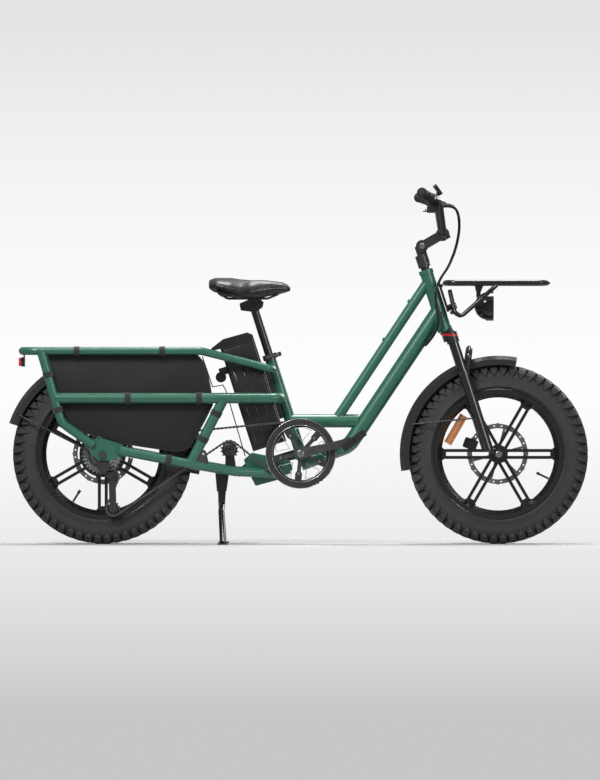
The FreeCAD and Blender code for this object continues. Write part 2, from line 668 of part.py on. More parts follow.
def strut_start():
    """Where the level strut's axis meets the seat tube's axis."""
    return seat((STRUT_Z - BB.z) / SEAT_UP.z)


def level_strut():
    """Level strut between the seat tube and the down tube."""
    tube = strut_outer().cut(rod(V(-62, 0, STRUT_Z), V(252, 0, STRUT_Z), STRUT_R - TUBE_WALL))
    path = [DOWN_TUBE_UPPER, DOWN_BEND, V(BB.x, 0, BB.z - 32)]
    tube = tube.cut(sweep(path, 60, DOWN_TUBE_R)).cut(seat_tube_outer())
    ahead = Part.makeBox(200, 100, 100, V(DOWN_BEND.x + 30, -50, STRUT_Z - 50))
    return largest(tube.cut(ahead))


def largest(shape):
    """The biggest solid of a shape, dropping offcuts."""
    return max(shape.Solids, key=lambda s: s.Volume)


def seat_top():
    """Mouth of the seat tube."""
    return seat((SEAT_TOP_DROP - BB.z) / SEAT_UP.z)


def seat_tube_outer():
    """Outside of the seat tube."""
    return rod(BB, seat_top(), SEAT_TUBE_R)


def bb_outer():
    """Outside of the crank bearing shell."""
    return disc(BB, BB_R, -BB_HALF, BB_HALF)


def seat_tube():
    """Seat tube, slit at the top, welded to the crank bearing shell."""
    body = fused(seat_tube_outer(), bb_outer())
    body = body.cut(rod(seat(BB_R + 6), seat_top() + SEAT_UP * 2, SEAT_BORE_R))
    body = body.cut(disc(BB, BB_R - 5, -BB_HALF - 1, BB_HALF + 1))
    slit = Part.makeBox(30, 2.5, 46, V(0, -1.25, -44))
    slit.rotate(V(0, 0, 0), Y, SEAT_ANGLE - 90)
    slit.translate(seat_top() + SEAT_UP * 2)
    return body.cut(slit)


def crank_bearings():
    """The two bearings of the crank shell."""
    return Part.makeCompound([disc(BB, BB_R - 5.05, s * BB_HALF - (11 if s > 0 else 0),
                                   s * BB_HALF + (11 if s < 0 else 0), SPINDLE_R + RUN_FIT) for s in (-1, 1)])


BOSS_ALONG = (92.0, 238.0)


def boss_points():
    """Point on the top tube's axis and outward direction of each threaded boss, on its upper side."""
    along = (TOP_TUBE_LOWER - TOP_TUBE_UPPER).normalize()
    return [(TOP_TUBE_UPPER + along * t, V(along.z, 0, -along.x)) for t in BOSS_ALONG]


def bottle_boss_holes():
    """Threaded holes through the top tube's upper wall."""
    return Part.makeCompound([rod(p, p + n * 30, 2.5) for p, n in boss_points()])


def bottle_bosses():
    """Threaded bosses welded to the top tube's upper side."""
    along = (TOP_TUBE_LOWER - TOP_TUBE_UPPER).normalize()
    tube = Part.makeCylinder(TOP_TUBE_R, 500, TOP_TUBE_UPPER, along)
    return Part.makeCompound([rod(p + n * 13, p + n * (TOP_TUBE_R + 4), 6, 2.5).cut(tube)
                              for p, n in boss_points()])


def base_box():
    """Controller box under the battery, welded behind the crank shell."""
    outline = [(-168, 246), (-176, 270), (-150, 292), (-28, 268), (-19, 240), (-60, 207), (-138, 186), (-152, 212)]
    body = plate(outline, -34, 34, 4)
    room = plate([(-160, 252), (-148, 282), (-36, 260), (-30, 244), (-62, 214), (-140, 216)], -31, 31, 2)
    return body.cut(room).cut(bb_outer()).cut(seat_tube_outer()).cut(disc(BB, 30, -60, 60))


def controller():
    """Motor controller inside the box."""
    return plate([(-140, 224), (-142, 270), (-60, 256), (-60, 224)], -26, 26, 2)


def battery_bracket():
    """Bent sheet behind the battery, from the box up to the top rails."""
    line = [V(-172, 0, 282), V(-232, 0, 488), V(-243, 0, 509), V(-276, 0, 503), V(-309, 0, 600)]
    strips = []
    for a, b in zip(line, line[1:]):
        step = (b - a).normalize() * 1.2
        strips.append(turned_box(a - step, b + step, 3, 60))
    return fused(*strips)


# ---- rear carrier --------------------------------------------------------------------------
TOP_RAIL_BENDS = [0, 46, 60, 60, 26, 0]
MID_RAIL_BENDS = [0, 80, 80, 30, 0]
STAY_BENDS = [0, 60, 60, 40, 0]


def top_rail_points():
    """Right-hand top rail: from the rear cross bend to the seat tube."""
    return [V(TOP_RAIL_REAR_X, 0, TOP_RAIL_Z), V(TOP_RAIL_REAR_X, -RAIL_Y, TOP_RAIL_Z),
            V(-313, -RAIL_Y, TOP_RAIL_Z), V(-150, -72, 577), V(-84, -64, 558), V(-84, 0, 558)]


def top_rail():
    """Right-hand top rail."""
    tube = sweep(top_rail_points(), TOP_RAIL_BENDS, TOP_RAIL_R, TOP_RAIL_R - TUBE_WALL)
    return tube.cut(seat_tube_outer())


def mid_rail_points():
    """Right-hand middle rail."""
    return [V(-776, -RAIL_Y, MID_RAIL_Z), V(-262, -RAIL_Y, MID_RAIL_Z), V(-130, -76, MID_RAIL_Z),
            V(-61, -72, MID_RAIL_Z), V(-61, 0, MID_RAIL_Z)]


def mid_rail():
    """Right-hand middle rail, from the upright to the seat tube."""
    tube = sweep(mid_rail_points(), MID_RAIL_BENDS, MID_RAIL_R, MID_RAIL_R - TUBE_WALL)
    return tube.cut(seat_tube_outer()).cut(sweep(upright_points(), 50, UPRIGHT_R))


def upright_points():
    """Right-hand rear upright, bent forward to the dropout."""
    return [V(-823, -RAIL_Y, TOP_RAIL_Z), V(-757, -RAIL_Y, 388), V(-655, -RAIL_Y + 2, 316)]


def upright():
    """Right-hand rear upright."""
    tube = sweep(upright_points(), 60, UPRIGHT_R, UPRIGHT_R - TUBE_WALL)
    return tube.cut(sweep(top_rail_points(), TOP_RAIL_BENDS, TOP_RAIL_R)).cut(dropout_outline())


def stay_points():
    """Right-hand lower stay."""
    return [V(-572, -RAIL_Y, 300), V(-348, -RAIL_Y, 257), V(-205, -78, 233), V(-76, -42, 226), V(-30, -38, 240)]


def lower_stay():
    """Right-hand lower stay, from the dropout to the crank shell."""
    tube = sweep(stay_points(), STAY_BENDS, STAY_R, STAY_R - TUBE_WALL)
    return largest(tube.cut(dropout_outline()).cut(base_box_outer()).cut(bb_outer()))


def base_box_outer():
    """Space filled by the controller box."""
    return plate([(-176, 200), (-176, 292), (-19, 268), (-19, 205)], -34, 34)


def diagonal():
    """Right-hand diagonal strut between the lower stay and the middle rail."""
    tube = rod(V(-345, -RAIL_Y, 262), V(-239, -RAIL_Y + 4, MID_RAIL_Z), DIAGONAL_R, DIAGONAL_R - TUBE_WALL)
    tube = tube.cut(sweep(stay_points(), STAY_BENDS, STAY_R))
    return largest(tube.cut(sweep(mid_rail_points(), MID_RAIL_BENDS, MID_RAIL_R)))


def dropout_outline():
    """Plate that carries the rear axle, before its holes."""
    shape = [(-676, 316), (-664, 336), (-648, 336), (-638, 348), (-626, 338), (-560, 318), (-548, 292),
             (-566, 280), (-600, 268), (-640, 268), (-662, 286)]
    return plate(shape, -DROPOUT_Y - DROPOUT_THICK / 2, -DROPOUT_Y + DROPOUT_THICK / 2, 5)


def dropout():
    """Right-hand dropout with an accessory ear hole."""
    body = dropout_outline().cut(disc(REAR_AXLE, AXLE_R + RUN_FIT, -DROPOUT_Y - 9, -DROPOUT_Y + 9))
    return body.cut(disc(V(-638, 0, 338), 3.0, -DROPOUT_Y - 9, -DROPOUT_Y + 9))


def stay_lug():
    """Right-hand lug with a hole, standing on the lower stay."""
    y = -RAIL_Y
    body = plate([(-334, 262), (-326, 300), (-300, 300), (-288, 252)], y - 4, y + 4, 8)
    body = body.cut(sweep(stay_points(), STAY_BENDS, STAY_R))
    body = largest(body.cut(rod(V(-345, y, 262), V(-239, y + 4, MID_RAIL_Z), DIAGONAL_R)))
    return body.cut(disc(V(-306, 0, 288), 4.0, y - 9, y + 9))


def cross_tubes():
    """Cross tubes joining the left and right carrier rails."""
    bars = []
    rail = sweep(top_rail_points(), TOP_RAIL_BENDS, TOP_RAIL_R)
    rail = Part.makeCompound([rail, mirrored(rail)])
    for x in (-760, -620, -480, -340):
        bars.append(rod(V(x, -RAIL_Y, TOP_RAIL_Z), V(x, RAIL_Y, TOP_RAIL_Z), 9, 7).cut(rail))
    return Part.makeCompound([largest(b) for b in bars])


PANEL_OUTLINE = [(-790, 596), (-322, 596), (-300, 560), (-284, 512), (-276, 446), (-348, 308), (-392, 296),
                 (-606, 330), (-720, 372), (-752, 400)]
STRAP_SPOTS = [(-709, TOP_RAIL_Z, 0, TOP_RAIL_R), (-436, TOP_RAIL_Z, 0, TOP_RAIL_R),
               (-546, MID_RAIL_Z, 0, MID_RAIL_R), (-318, MID_RAIL_Z, 0, MID_RAIL_R)]


def panel():
    """Right-hand side panel with strap slots."""
    body = plate(PANEL_OUTLINE, -PANEL_Y, -PANEL_Y + PANEL_THICK, 14)
    for x, z, turn, radius in STRAP_SPOTS:
        low = -18 if z > 500 else 22
        body = body.cut(Part.makeBox(27, 20, 3, V(x - 13.5, -PANEL_Y - 8, z - radius - 10 if low < 0 else z - 34)))
    return body


def straps():
    """Right-hand straps that tie the panel to the tubes."""
    loops = []
    for x, z, turn, radius in STRAP_SPOTS:
        ring = rod(V(x - 9, -RAIL_Y, z), V(x + 9, -RAIL_Y, z), radius + SKIN_GAP + STRAP_THICK, radius + SKIN_GAP)
        loops.append(ring)
    for start, end, share, radius in strap_tubes():
        middle = start + (end - start) * share
        along = (end - start).normalize() * 9
        loops.append(rod(middle - along, middle + along, radius + SKIN_GAP + STRAP_THICK, radius + SKIN_GAP))
    return Part.makeCompound(loops)


def strap_tubes():
    """Straight tube runs that carry the remaining straps."""
    up = upright_points()
    stay = stay_points()
    diag = (V(-345, -RAIL_Y, 262), V(-239, -RAIL_Y + 4, MID_RAIL_Z))
    return [(up[0], up[1], 0.33, UPRIGHT_R), (up[0], up[1], 0.82, UPRIGHT_R), (diag[0], diag[1], 0.36, DIAGONAL_R),
            (diag[0], diag[1], 0.76, DIAGONAL_R), (stay[0], stay[1], 0.7, STAY_R)]


# ---- drive train ---------------------------------------------------------------------------
def pitch_r(teeth):
    """Pitch circle radius of a chain wheel."""
    return CHAIN_PITCH / (2 * math.sin(math.pi / teeth))


def chain_path():
    """Closed line of the chain: chain ring, idler, two jockey wheels and the cog in use.

    Each wheel is (centre, radius, way round), where -1 is clockwise seen from the chain side.
    """
    wheels = [(BB, pitch_r(RING_TEETH), -1), (IDLER, pitch_r(IDLER_TEETH), 1),
              (LOWER_JOCKEY, pitch_r(JOCKEY_TEETH), -1), (UPPER_JOCKEY, pitch_r(JOCKEY_TEETH), 1),
              (REAR_AXLE, pitch_r(COG_TEETH[CHAIN_COG]), -1)]
    tangents = []
    for (c1, r1, s1), (c2, r2, s2) in zip(wheels, wheels[1:] + wheels[:1]):
        c1, c2 = V(c1.x, CHAIN_Y, c1.z), V(c2.x, CHAIN_Y, c2.z)
        gap = c2 - c1
        base = math.atan2(gap.z, gap.x)
        lean = math.acos((s1 * r1 - s2 * r2) / gap.Length)
        angle = base - lean
        out = V(math.cos(angle), 0, math.sin(angle))
        tangents.append((c1 + out * (s1 * r1), c2 + out * (s2 * r2)))
    edges = []
    for i, (centre, radius, way) in enumerate(wheels):
        start, end = tangents[i - 1][1], tangents[i][0]
        c = V(centre.x, CHAIN_Y, centre.z)
        a = math.atan2(start.z - c.z, start.x - c.x)
        b = math.atan2(end.z - c.z, end.x - c.x)
        sweep_angle = (b - a) % (2 * math.pi) if way > 0 else -((a - b) % (2 * math.pi))
        middle = a + sweep_angle / 2
        edges.append(Part.Arc(start, c + V(math.cos(middle), 0, math.sin(middle)) * radius, end).toShape())
        edges.append(Part.LineSegment(*tangents[i]).toShape())
    return Part.Wire(edges)


def chain():
    """Both rows of side plates of the chain; the rollers lie between the teeth."""
    path = chain_path()
    wide, narrow = path.makeOffset2D(PLATE_HEIGHT / 2), path.makeOffset2D(-PLATE_HEIGHT / 2)
    outer, inner = (wide, narrow) if wide.Length > narrow.Length else (narrow, wide)
    band = Part.Face(outer).cut(Part.Face(inner))
    rows = []
    for y in (-PLATE_OUTER, PLATE_INNER):
        row = band.copy()
        row.translate(V(0, y, 0))
        rows.append(row.extrude(V(0, PLATE_OUTER - PLATE_INNER, 0)))
    return Part.makeCompound(rows)


def chain_wheel(centre, teeth, y, bore, thick=COG_THICK):
    """Plain chain wheel blank as large as its tooth tips."""
    return disc(centre, pitch_r(teeth) + 3, y - thick / 2, y + thick / 2, bore)


def cassette():
    """Cogs on one carrier that turns on the rear axle."""
    carrier = disc(REAR_AXLE, 17, CHAIN_Y - 3 * COG_STEP - 2, -REAR_HUB_HALF - BODY_GAP)
    cogs = [chain_wheel(REAR_AXLE, teeth, CHAIN_Y + (CHAIN_COG - i) * COG_STEP, 0)
            for i, teeth in enumerate(COG_TEETH)]
    body = fused(carrier, *cogs)
    for i, teeth in enumerate(COG_TEETH[:4]):
        y = CHAIN_Y + (CHAIN_COG - i) * COG_STEP
        windows = [placed_in_wheel(Part.makeCylinder(5.5, 4, V(pitch_r(teeth) - 13, y - 2, 0), Y), REAR_AXLE, 45 * k)
                   for k in range(8)]
        body = body.cut(Part.makeCompound(windows))
    return body.cut(disc(REAR_AXLE, AXLE_R + RUN_FIT, -120, 0))


def pulley(centre, teeth, bore):
    """Guide wheel with lightening holes."""
    body = fused(chain_wheel(centre, teeth, CHAIN_Y, 0), disc(centre, 9, CHAIN_Y - 4, CHAIN_Y + 4))
    radius = pitch_r(teeth) - 7.5
    holes = [placed_in_wheel(Part.makeCylinder(2.4, 6, V(radius, CHAIN_Y - 3, 0), Y), V(centre.x, 0, centre.z), 60 * k)
             for k in range(6)] if teeth > 11 else []
    if holes:
        body = body.cut(Part.makeCompound(holes))
    return body.cut(disc(centre, bore, CHAIN_Y - 9, CHAIN_Y + 9))


PULLEY_BORE = 3.0


def idler_bracket():
    """Bracket and pin of the idler on the right lower stay."""
    y = CHAIN_Y + 5
    arm = plate([(-236, 246), (-232, 308), (-210, 308), (-200, 246)], y, y + 4, 8)
    pin = disc(IDLER, PULLEY_BORE - RUN_FIT, CHAIN_Y - 4, y + 2)
    head_disc = disc(IDLER, 6, CHAIN_Y - 6.5, CHAIN_Y - 4.5)
    return largest(fused(arm, pin, head_disc).cut(sweep(stay_points(), STAY_BENDS, STAY_R)))


def hanger():
    """Hanger plate on the inner face of the right dropout."""
    body = plate([(-650, 262), (-664, 292), (-600, 292), (-606, 240), (-618, 226), (-634, 226)],
                 -DROPOUT_Y + 4, -DROPOUT_Y + 8, 4)
    return body.cut(disc(REAR_AXLE, 14, -120, -60))


def derailleur():
    """Rear derailleur: hanger, parallelogram body and the cage with its two pins."""
    knuckle = disc(V(-626, 0, 236), 11, -DROPOUT_Y + 4, -DROPOUT_Y + 20)
    link = turned_box(V(-630, 0, 236), V(-596, 0, 214), 18, 9)
    link.translate(V(0, -84.5, 0))
    plates = []
    for y in (CHAIN_Y - 7.5, CHAIN_Y + 5):
        outline = [(-608, 220), (-604, 106), (-593, 100), (-582, 106), (-586, 220), (-597, 228)]
        plates.append(plate(outline, y, y + 2.5, 5))
    pins = [disc(c, PULLEY_BORE - RUN_FIT, CHAIN_Y - 6, CHAIN_Y + 6) for c in (UPPER_JOCKEY, LOWER_JOCKEY)]
    cage = fused(*plates, *pins)
    return fused(hanger(), knuckle, link, cage)


def spider_and_crank():
    """Right crank with the five-arm spider."""
    arm = crank_arm(CRANK_ANGLE, -104, -90)
    arms = []
    for k in range(5):
        spoke = Part.makeBox(BCD_R - 6, 6, 13, V(12, CHAIN_Y - 10, -6.5))
        boss = Part.makeCylinder(8.5, 8, V(BCD_R, CHAIN_Y - 10, 0), Y)
        arms.append(placed_in_wheel(spoke.fuse(boss), BB, SPIDER_TURN + 72 * k))
    hub = disc(BB, 20, -92, CHAIN_Y - 2)
    body = fused(arm, hub, *arms)
    return body.cut(disc(BB, SPINDLE_R, -120, 0)).cut(ring_bolt_holes())


def crank_arm(angle, y0, y1):
    """Tapered crank with a threaded pedal eye."""
    outline = [(-2, -17), (CRANK_LENGTH * 0.5, -12), (CRANK_LENGTH, -13), (CRANK_LENGTH + 13, 0),
               (CRANK_LENGTH, 13), (CRANK_LENGTH * 0.5, 12), (-2, 17)]
    body = plate(outline, y0, y1, 4)
    body = body.fuse(Part.makeCylinder(18, y1 - y0, V(0, y0, 0), Y))
    body = body.cut(Part.makeCylinder(PEDAL_AXLE_R, 60, V(CRANK_LENGTH, y0 - 20, 0), Y))
    return placed_in_wheel(body, BB, angle)


PEDAL_AXLE_R = 7.0
PEDAL_LENGTH = 88.0
PEDAL_WIDTH = 92.0


def pedal_at(side):
    """Centre of a pedal's axle hole; side is -1 on the chain side."""
    return polar(BB, CRANK_LENGTH, CRANK_ANGLE + (0 if side < 0 else 180))


def pedal_axle(side):
    """Pedal axle screwed into the crank eye."""
    at = pedal_at(side)
    return disc(at, PEDAL_AXLE_R, min(side * 90, side * 118), max(side * 90, side * 118)).fuse(
        disc(at, 4.5, min(side * 117, side * 204), max(side * 117, side * 204)))


def pedal(side):
    """Pedal body: two end bars, two side plates and a centre barrel, free on its axle."""
    at = pedal_at(side)
    y0, y1 = sorted((side * 119, side * (119 + PEDAL_WIDTH)))
    half = PEDAL_LENGTH / 2
    barrel = rod(V(0, y0, 0), V(0, y1, 0), 10)
    frame_plate = Part.makeBox(PEDAL_LENGTH, y1 - y0, 22, V(-half, y0, -11))
    inside = [Part.makeBox(half - 20, y1 - y0 - 18, 40, V(x, y0 + 9, -20)) for x in (-half + 9, 11)]
    body = frame_plate.cut(Part.makeCompound(inside)).fuse(barrel)
    body = body.cut(rod(V(0, y0 - 1, 0), V(0, y1 + 1, 0), 4.5 + RUN_FIT))
    return placed_in_wheel(body, at, 38)


def chain_ring():
    """Toothed ring blank with five bolt ears."""
    ring = disc(BB, pitch_r(RING_TEETH) + 3, CHAIN_Y - 1, CHAIN_Y + 1, 88)
    ears = []
    for k in range(5):
        ear = Part.makeBox(30, 2, 22, V(BCD_R - 2, CHAIN_Y - 1, -11)).fuse(
            Part.makeCylinder(10, 2, V(BCD_R, CHAIN_Y - 1, 0), Y))
        ears.append(placed_in_wheel(ear, BB, SPIDER_TURN + 72 * k))
    return fused(ring, *ears).cut(ring_bolt_holes())


def ring_bolt_holes():
    """Five bolt holes through the ring, the guard and the spider."""
    return Part.makeCompound([placed_in_wheel(Part.makeCylinder(4, 30, V(BCD_R, CHAIN_Y - 20, 0), Y), BB,
                                              SPIDER_TURN + 72 * k) for k in range(5)])


def chain_guard():
    """Round guard plate outside the chain ring."""
    y0 = CHAIN_Y - 13
    ring = disc(BB, GUARD_R, y0, y0 + 3, 90)
    ears = []
    for k in range(5):
        ear = Part.makeBox(34, 3, 22, V(BCD_R - 2, y0, -11)).fuse(Part.makeCylinder(10, 3, V(BCD_R, y0, 0), Y))
        ears.append(placed_in_wheel(ear, BB, SPIDER_TURN + 72 * k))
    body = fused(ring, *ears)
    return body.cut(ring_bolt_holes())


def ring_bolts():
    """Five chain ring bolts."""
    bolts = []
    for k in range(5):
        shaft = Part.makeCylinder(3.98, 14, V(BCD_R, CHAIN_Y - 13, 0), Y)
        cap = Part.makeCylinder(6.5, 2, V(BCD_R, CHAIN_Y - 15, 0), Y)
        bolts.append(placed_in_wheel(shaft.fuse(cap), BB, SPIDER_TURN + 72 * k))
    return Part.makeCompound(bolts)


# ---- saddle, battery, stand ----------------------------------------------------------------
SEATPOST_R = SEAT_BORE_R - RUN_FIT
SADDLE_REAR = -291.0
SADDLE_NOSE = -23.0


def seatpost():
    """Seatpost with its clamp block and bolt."""
    top = seat(480)
    post = rod(seat(172), top, SEATPOST_R, SEATPOST_R - 2.5)
    block = plate([(-186, 748), (-190, 770), (-160, 783), (-122, 783), (-112, 774), (-116, 758), (-138, 742)],
                  -18, 18, 4)
    bolt = disc(V(-120, 0, 770), 5, -22, 22)
    return fused(post, block.cut(rod(seat(172), top, SEATPOST_R - 2.5)), bolt)


def saddle_rails():
    """Two steel rails under the saddle, held in the clamp block."""
    rails = []
    for s in (-1, 1):
        line = [V(-256, s * 34, 802), V(-228, s * 26, 786), V(-100, s * 22, 786), V(-66, s * 14, 800)]
        rails.append(sweep(line, 14, 3.5))
    return Part.makeCompound(rails)


def saddle_shape(drop, inset):
    """Saddle form: side outline met by the plan outline."""
    side = [(SADDLE_REAR + inset, 834 - drop), (-262, 852 - drop), (-160, 844 - drop), (-60, 838 - drop),
            (SADDLE_NOSE - 10, 830 - drop), (SADDLE_NOSE - inset, 816 - drop), (-80, 802), (-130, 797),
            (-190, 792), (SADDLE_REAR + 26, 808)]
    body = plate(side, -140, 140, 6)
    plan = [V(SADDLE_REAR, -70, 700), V(-270, -112, 700), V(-215, -118, 700), V(-130, -62, 700),
            V(-50, -28, 700), V(SADDLE_NOSE, -20, 700)]
    plan = plan + [V(p.x, -p.y, p.z) for p in reversed(plan)]
    outline = Part.Face(rounded(plan, 14, closed=True)).extrude(V(0, 0, 300))
    return body.common(outline)


def saddle():
    """Padded saddle top."""
    base = Part.makeBox(400, 400, 100, V(-350, -200, 708))
    return largest(saddle_shape(0, 0).cut(base))


def saddle_base():
    """Plastic shell under the saddle padding."""
    low = plate([(-250, 793), (-262, 804), (-262, 807.5), (-60, 807.5), (-60, 803), (-130, 796), (-190, 790)],
                -90, 90)
    plan = [V(-262, -84, 700), V(-215, -84, 700), V(-130, -40, 700), V(-60, -18, 700)]
    plan = plan + [V(p.x, -p.y, p.z) for p in reversed(plan)]
    return low.common(Part.Face(Part.makePolygon(plan + plan[:1])).extrude(V(0, 0, 300)))


def seat_collar():
    """Clamp round the seat tube's mouth."""
    low = seat_top() - SEAT_UP * 16
    ring = rod(low, seat_top() + SEAT_UP * 1.5, SEAT_TUBE_R + 5, SEAT_TUBE_R + 0.02)
    ear = Part.makeBox(18, 6, 13, V(20, 0, -14))
    lugs = []
    for y in (-8, 2):
        lug = ear.copy()
        lug.translate(V(0, y, 0))
        lug.rotate(V(0, 0, 0), Y, SEAT_ANGLE - 90)
        lug.translate(seat_top())
        lugs.append(lug)
    return fused(ring, *lugs).cut(seat_tube_outer())


BATTERY_FRONT = -31.0
BATTERY_LOW = 52.0


def in_seat_frame(shape):
    """Place a shape drawn with Z up the seat tube and X ahead of it."""
    moved = shape.copy()
    moved.rotate(V(0, 0, 0), Y, SEAT_ANGLE - 90)
    moved.translate(BB)
    return moved


def battery_case():
    """Battery case."""
    rear = BATTERY_FRONT - BATTERY_DEPTH
    box = Part.makeBox(BATTERY_DEPTH, 2 * BATTERY_HALF, BATTERY_LENGTH, V(rear, -BATTERY_HALF, BATTERY_LOW))
    box = box.makeFillet(8, [e for e in box.Edges if abs(e.Length - BATTERY_LENGTH) < 0.01])
    lock = Part.makeCylinder(17, 20, V(rear - 26, -10, BATTERY_LOW + 258), Y)
    lock = lock.fuse(Part.makeBox(30, 20, 24, V(rear - 26, -10, BATTERY_LOW + 262)))
    return in_seat_frame(fused(box, lock))


def battery_cap():
    """Battery top cap with a recessed carrying handle."""
    low = BATTERY_LOW + BATTERY_LENGTH
    rear = BATTERY_FRONT - BATTERY_DEPTH
    outline = [(rear - 28, low + 2), (rear - 28, low + 10), (rear + 18, low + 27), (BATTERY_FRONT - 14, low + 24),
               (BATTERY_FRONT, low + 12), (BATTERY_FRONT, low), (rear, low)]
    body = plate(outline, -BATTERY_HALF, BATTERY_HALF, 3)
    recess = Part.makeBox(62, 46, 26, V(rear + 22, -23, low + 8))
    grip_bar = rod(V(rear + 50, -24, low + 18), V(rear + 50, 24, low + 18), 6)
    return in_seat_frame(fused(body.cut(recess), grip_bar))


def battery_rail():
    """Rail on the seat tube that the battery slides along."""
    width = BATTERY_FRONT * -1 - SEAT_TUBE_R
    body = in_seat_frame(Part.makeBox(width - BODY_GAP + 4, 24, 180, V(BATTERY_FRONT + BODY_GAP, -12, 125)))
    body = body.cut(seat_tube_outer()).cut(strut_outer())
    rails = [sweep(top_rail_points(), TOP_RAIL_BENDS, TOP_RAIL_R + SKIN_GAP),
             sweep(mid_rail_points(), MID_RAIL_BENDS, MID_RAIL_R + SKIN_GAP)]
    for rail in rails:
        body = body.cut(rail).cut(mirrored(rail))
    return group(*[s for s in body.Solids if s.Volume > 2000])


STAND_PIVOT = V(STAND_X, 0, STAND_PIVOT_Z)


def stand_mount():
    """Cross tube between the lower stays, with the bracket of the stand."""
    stay = sweep(stay_points(), STAY_BENDS, STAY_R)
    tube = rod(V(STAND_X, -84, 239), V(STAND_X, 84, 239), 11).cut(Part.makeCompound([stay, mirrored(stay)]))
    tube = largest(tube)
    cheeks = [plate([(STAND_X - 22, 236), (STAND_X - 16, 166), (STAND_X + 14, 166), (STAND_X + 24, 236)],
                    y, y + 5, 6) for y in (-27, 22)]
    pin = disc(STAND_PIVOT, 6, -27, 27)
    return fused(tube, *cheeks, pin)


def stand():
    """Two-leg centre stand: pivot barrel, neck and splayed legs with feet."""
    barrel = disc(STAND_PIVOT, 13, -22 + BODY_GAP, 22 - BODY_GAP)
    neck = plate([(STAND_X - 13, STAND_PIVOT_Z), (STAND_X - 11, 118), (STAND_X + 9, 118), (STAND_X + 13, STAND_PIVOT_Z)],
                 -18, 18, 3)
    foot = V(STAND_X + 4, -STAND_FOOT_Y, 4.5)
    leg = sweep([V(STAND_X, -8, 128), V(STAND_X - 2, -46, 106), foot], 18, STAND_LEG_R)
    floor = Part.makeBox(2000, 2000, 60, V(-1000, -1000, -60))
    flange = rod(V(foot.x, foot.y, 0), V(foot.x, foot.y, 5), 17)
    leg = fused(leg.cut(floor), flange)
    body = fused(barrel, neck, leg, mirrored(leg))
    return body.cut(disc(STAND_PIVOT, 6 + RUN_FIT, -40, 40))


# ---- racks and lights ----------------------------------------------------------------------
def rack_platform():
    """Front rack platform: rounded tube frame with two long bars and two cross bars."""
    x0, x1, w = RACK_REAR_X, RACK_FRONT_X, RACK_HALF
    loop = [V(x0, 0, RACK_Z), V(x0, -w, RACK_Z), V(x1, -w, RACK_Z), V(x1, w, RACK_Z), V(x0, w, RACK_Z),
            V(x0, 0.001, RACK_Z)]
    outer = sweep(loop, 34, RACK_TUBE_R)
    bars = [rod(V(x0, y, RACK_Z), V(x1, y, RACK_Z), 5) for y in (-45, 45)]
    cross = [rod(V(x, -w, RACK_Z), V(x, w, RACK_Z), 6) for x in (590, 700)]
    return fused(outer, *bars, *cross)


def rack_struts():
    """V-shaped side tubes from the platform down to the head tube plate."""
    tubes = []
    for s in (-1, 1):
        y = s * 66
        line = [V(484, s * 26, 812), V(500, s * 62, 742), V(520, y, 728), V(633, s * 80, RACK_Z - RACK_TUBE_R)]
        tubes.append(sweep(line, [0, 16, 16, 0], 6.5))
    ahead = HEAD_R + 2
    base = in_head_frame(Part.makeBox(7, 60, 96, V(ahead + 0.2, -30, -150)))
    link = rod(V(492, -60, 742), V(492, 60, 742), 6.5)
    neck = in_head_frame(Part.makeBox(30, 34, 20, V(ahead + 5, -17, -148)))
    body = fused(base, neck, link, *tubes)
    return body.cut(rack_platform()).cut(head_tube_outer())


def rack_bolts():
    """Bolts that hold the rack plate on the head tube."""
    bolts = []
    for up in (-64, -134):
        at = head(HEAD_R + 9.4, up)
        bolts += [rod(at + V(0, y, 0), at + V(0, y, 0) + HEAD_FWD * 5, 5) for y in (-22, 22)]
    return Part.makeCompound(bolts)


LAMP = V(608, 0, 762)
LAMP_R = 45.0
LAMP_PIVOT = V(576, 0, 816)


def lamp_bracket():
    """Bracket under the rack that carries the headlight."""
    ears = [plate([(564, 829), (568, 808), (584, 808), (592, 829)], y, y + 3, 3) for y in (-11, 8)]
    top = Part.makeBox(34, 22, 4, V(562, -11, 826))
    pin = disc(LAMP_PIVOT, 3, -11, 11)
    return fused(top, pin, *ears).cut(rack_platform())


def headlight():
    """Round headlight shell with a mounting lug."""
    ahead = V(1, 0, 0)
    shell = Part.makeSphere(LAMP_R, LAMP).cut(Part.makeBox(200, 200, 200, V(LAMP.x - 8, -100, LAMP.z - 100)))
    ring = Part.makeCylinder(LAMP_R + 2, 24, LAMP - ahead * 8, ahead)
    body = fused(shell, ring)
    body = body.cut(Part.makeCylinder(LAMP_R - 3, 30, LAMP - ahead * 2, ahead))
    lug = Part.makeBox(14, 15, 24, V(LAMP_PIVOT.x - 7, -7.5, LAMP_PIVOT.z - 26))
    lug = lug.fuse(disc(LAMP_PIVOT, 7, -7.5, 7.5))
    return fused(body, lug).cut(disc(LAMP_PIVOT, 3 + RUN_FIT, -20, 20))


def headlight_lens():
    """Clear front lens."""
    return Part.makeCylinder(LAMP_R - 3.05, 12, LAMP, V(1, 0, 0))


def rear_light():
    """Rear light body with its bracket on the rear cross bend."""
    body = Part.makeBox(10, 84, 30, V(-888, -42, 568))
    body = body.makeFillet(4, [e for e in body.Edges if abs(e.Length - 10) < 0.01])
    arm = Part.makeBox(4, 26, 30, V(-882, -13, 588))
    rail = sweep(top_rail_points(), TOP_RAIL_BENDS, TOP_RAIL_R)
    return fused(body, arm).cut(Part.makeCompound([rail, mirrored(rail)]))


def rear_lens():
    """Red lens and reflector of the rear light."""
    body = Part.makeBox(7, 78, 26, V(-895, -39, 570))
    return body.makeFillet(2, [e for e in body.Edges if abs(e.Length - 7) < 0.01])


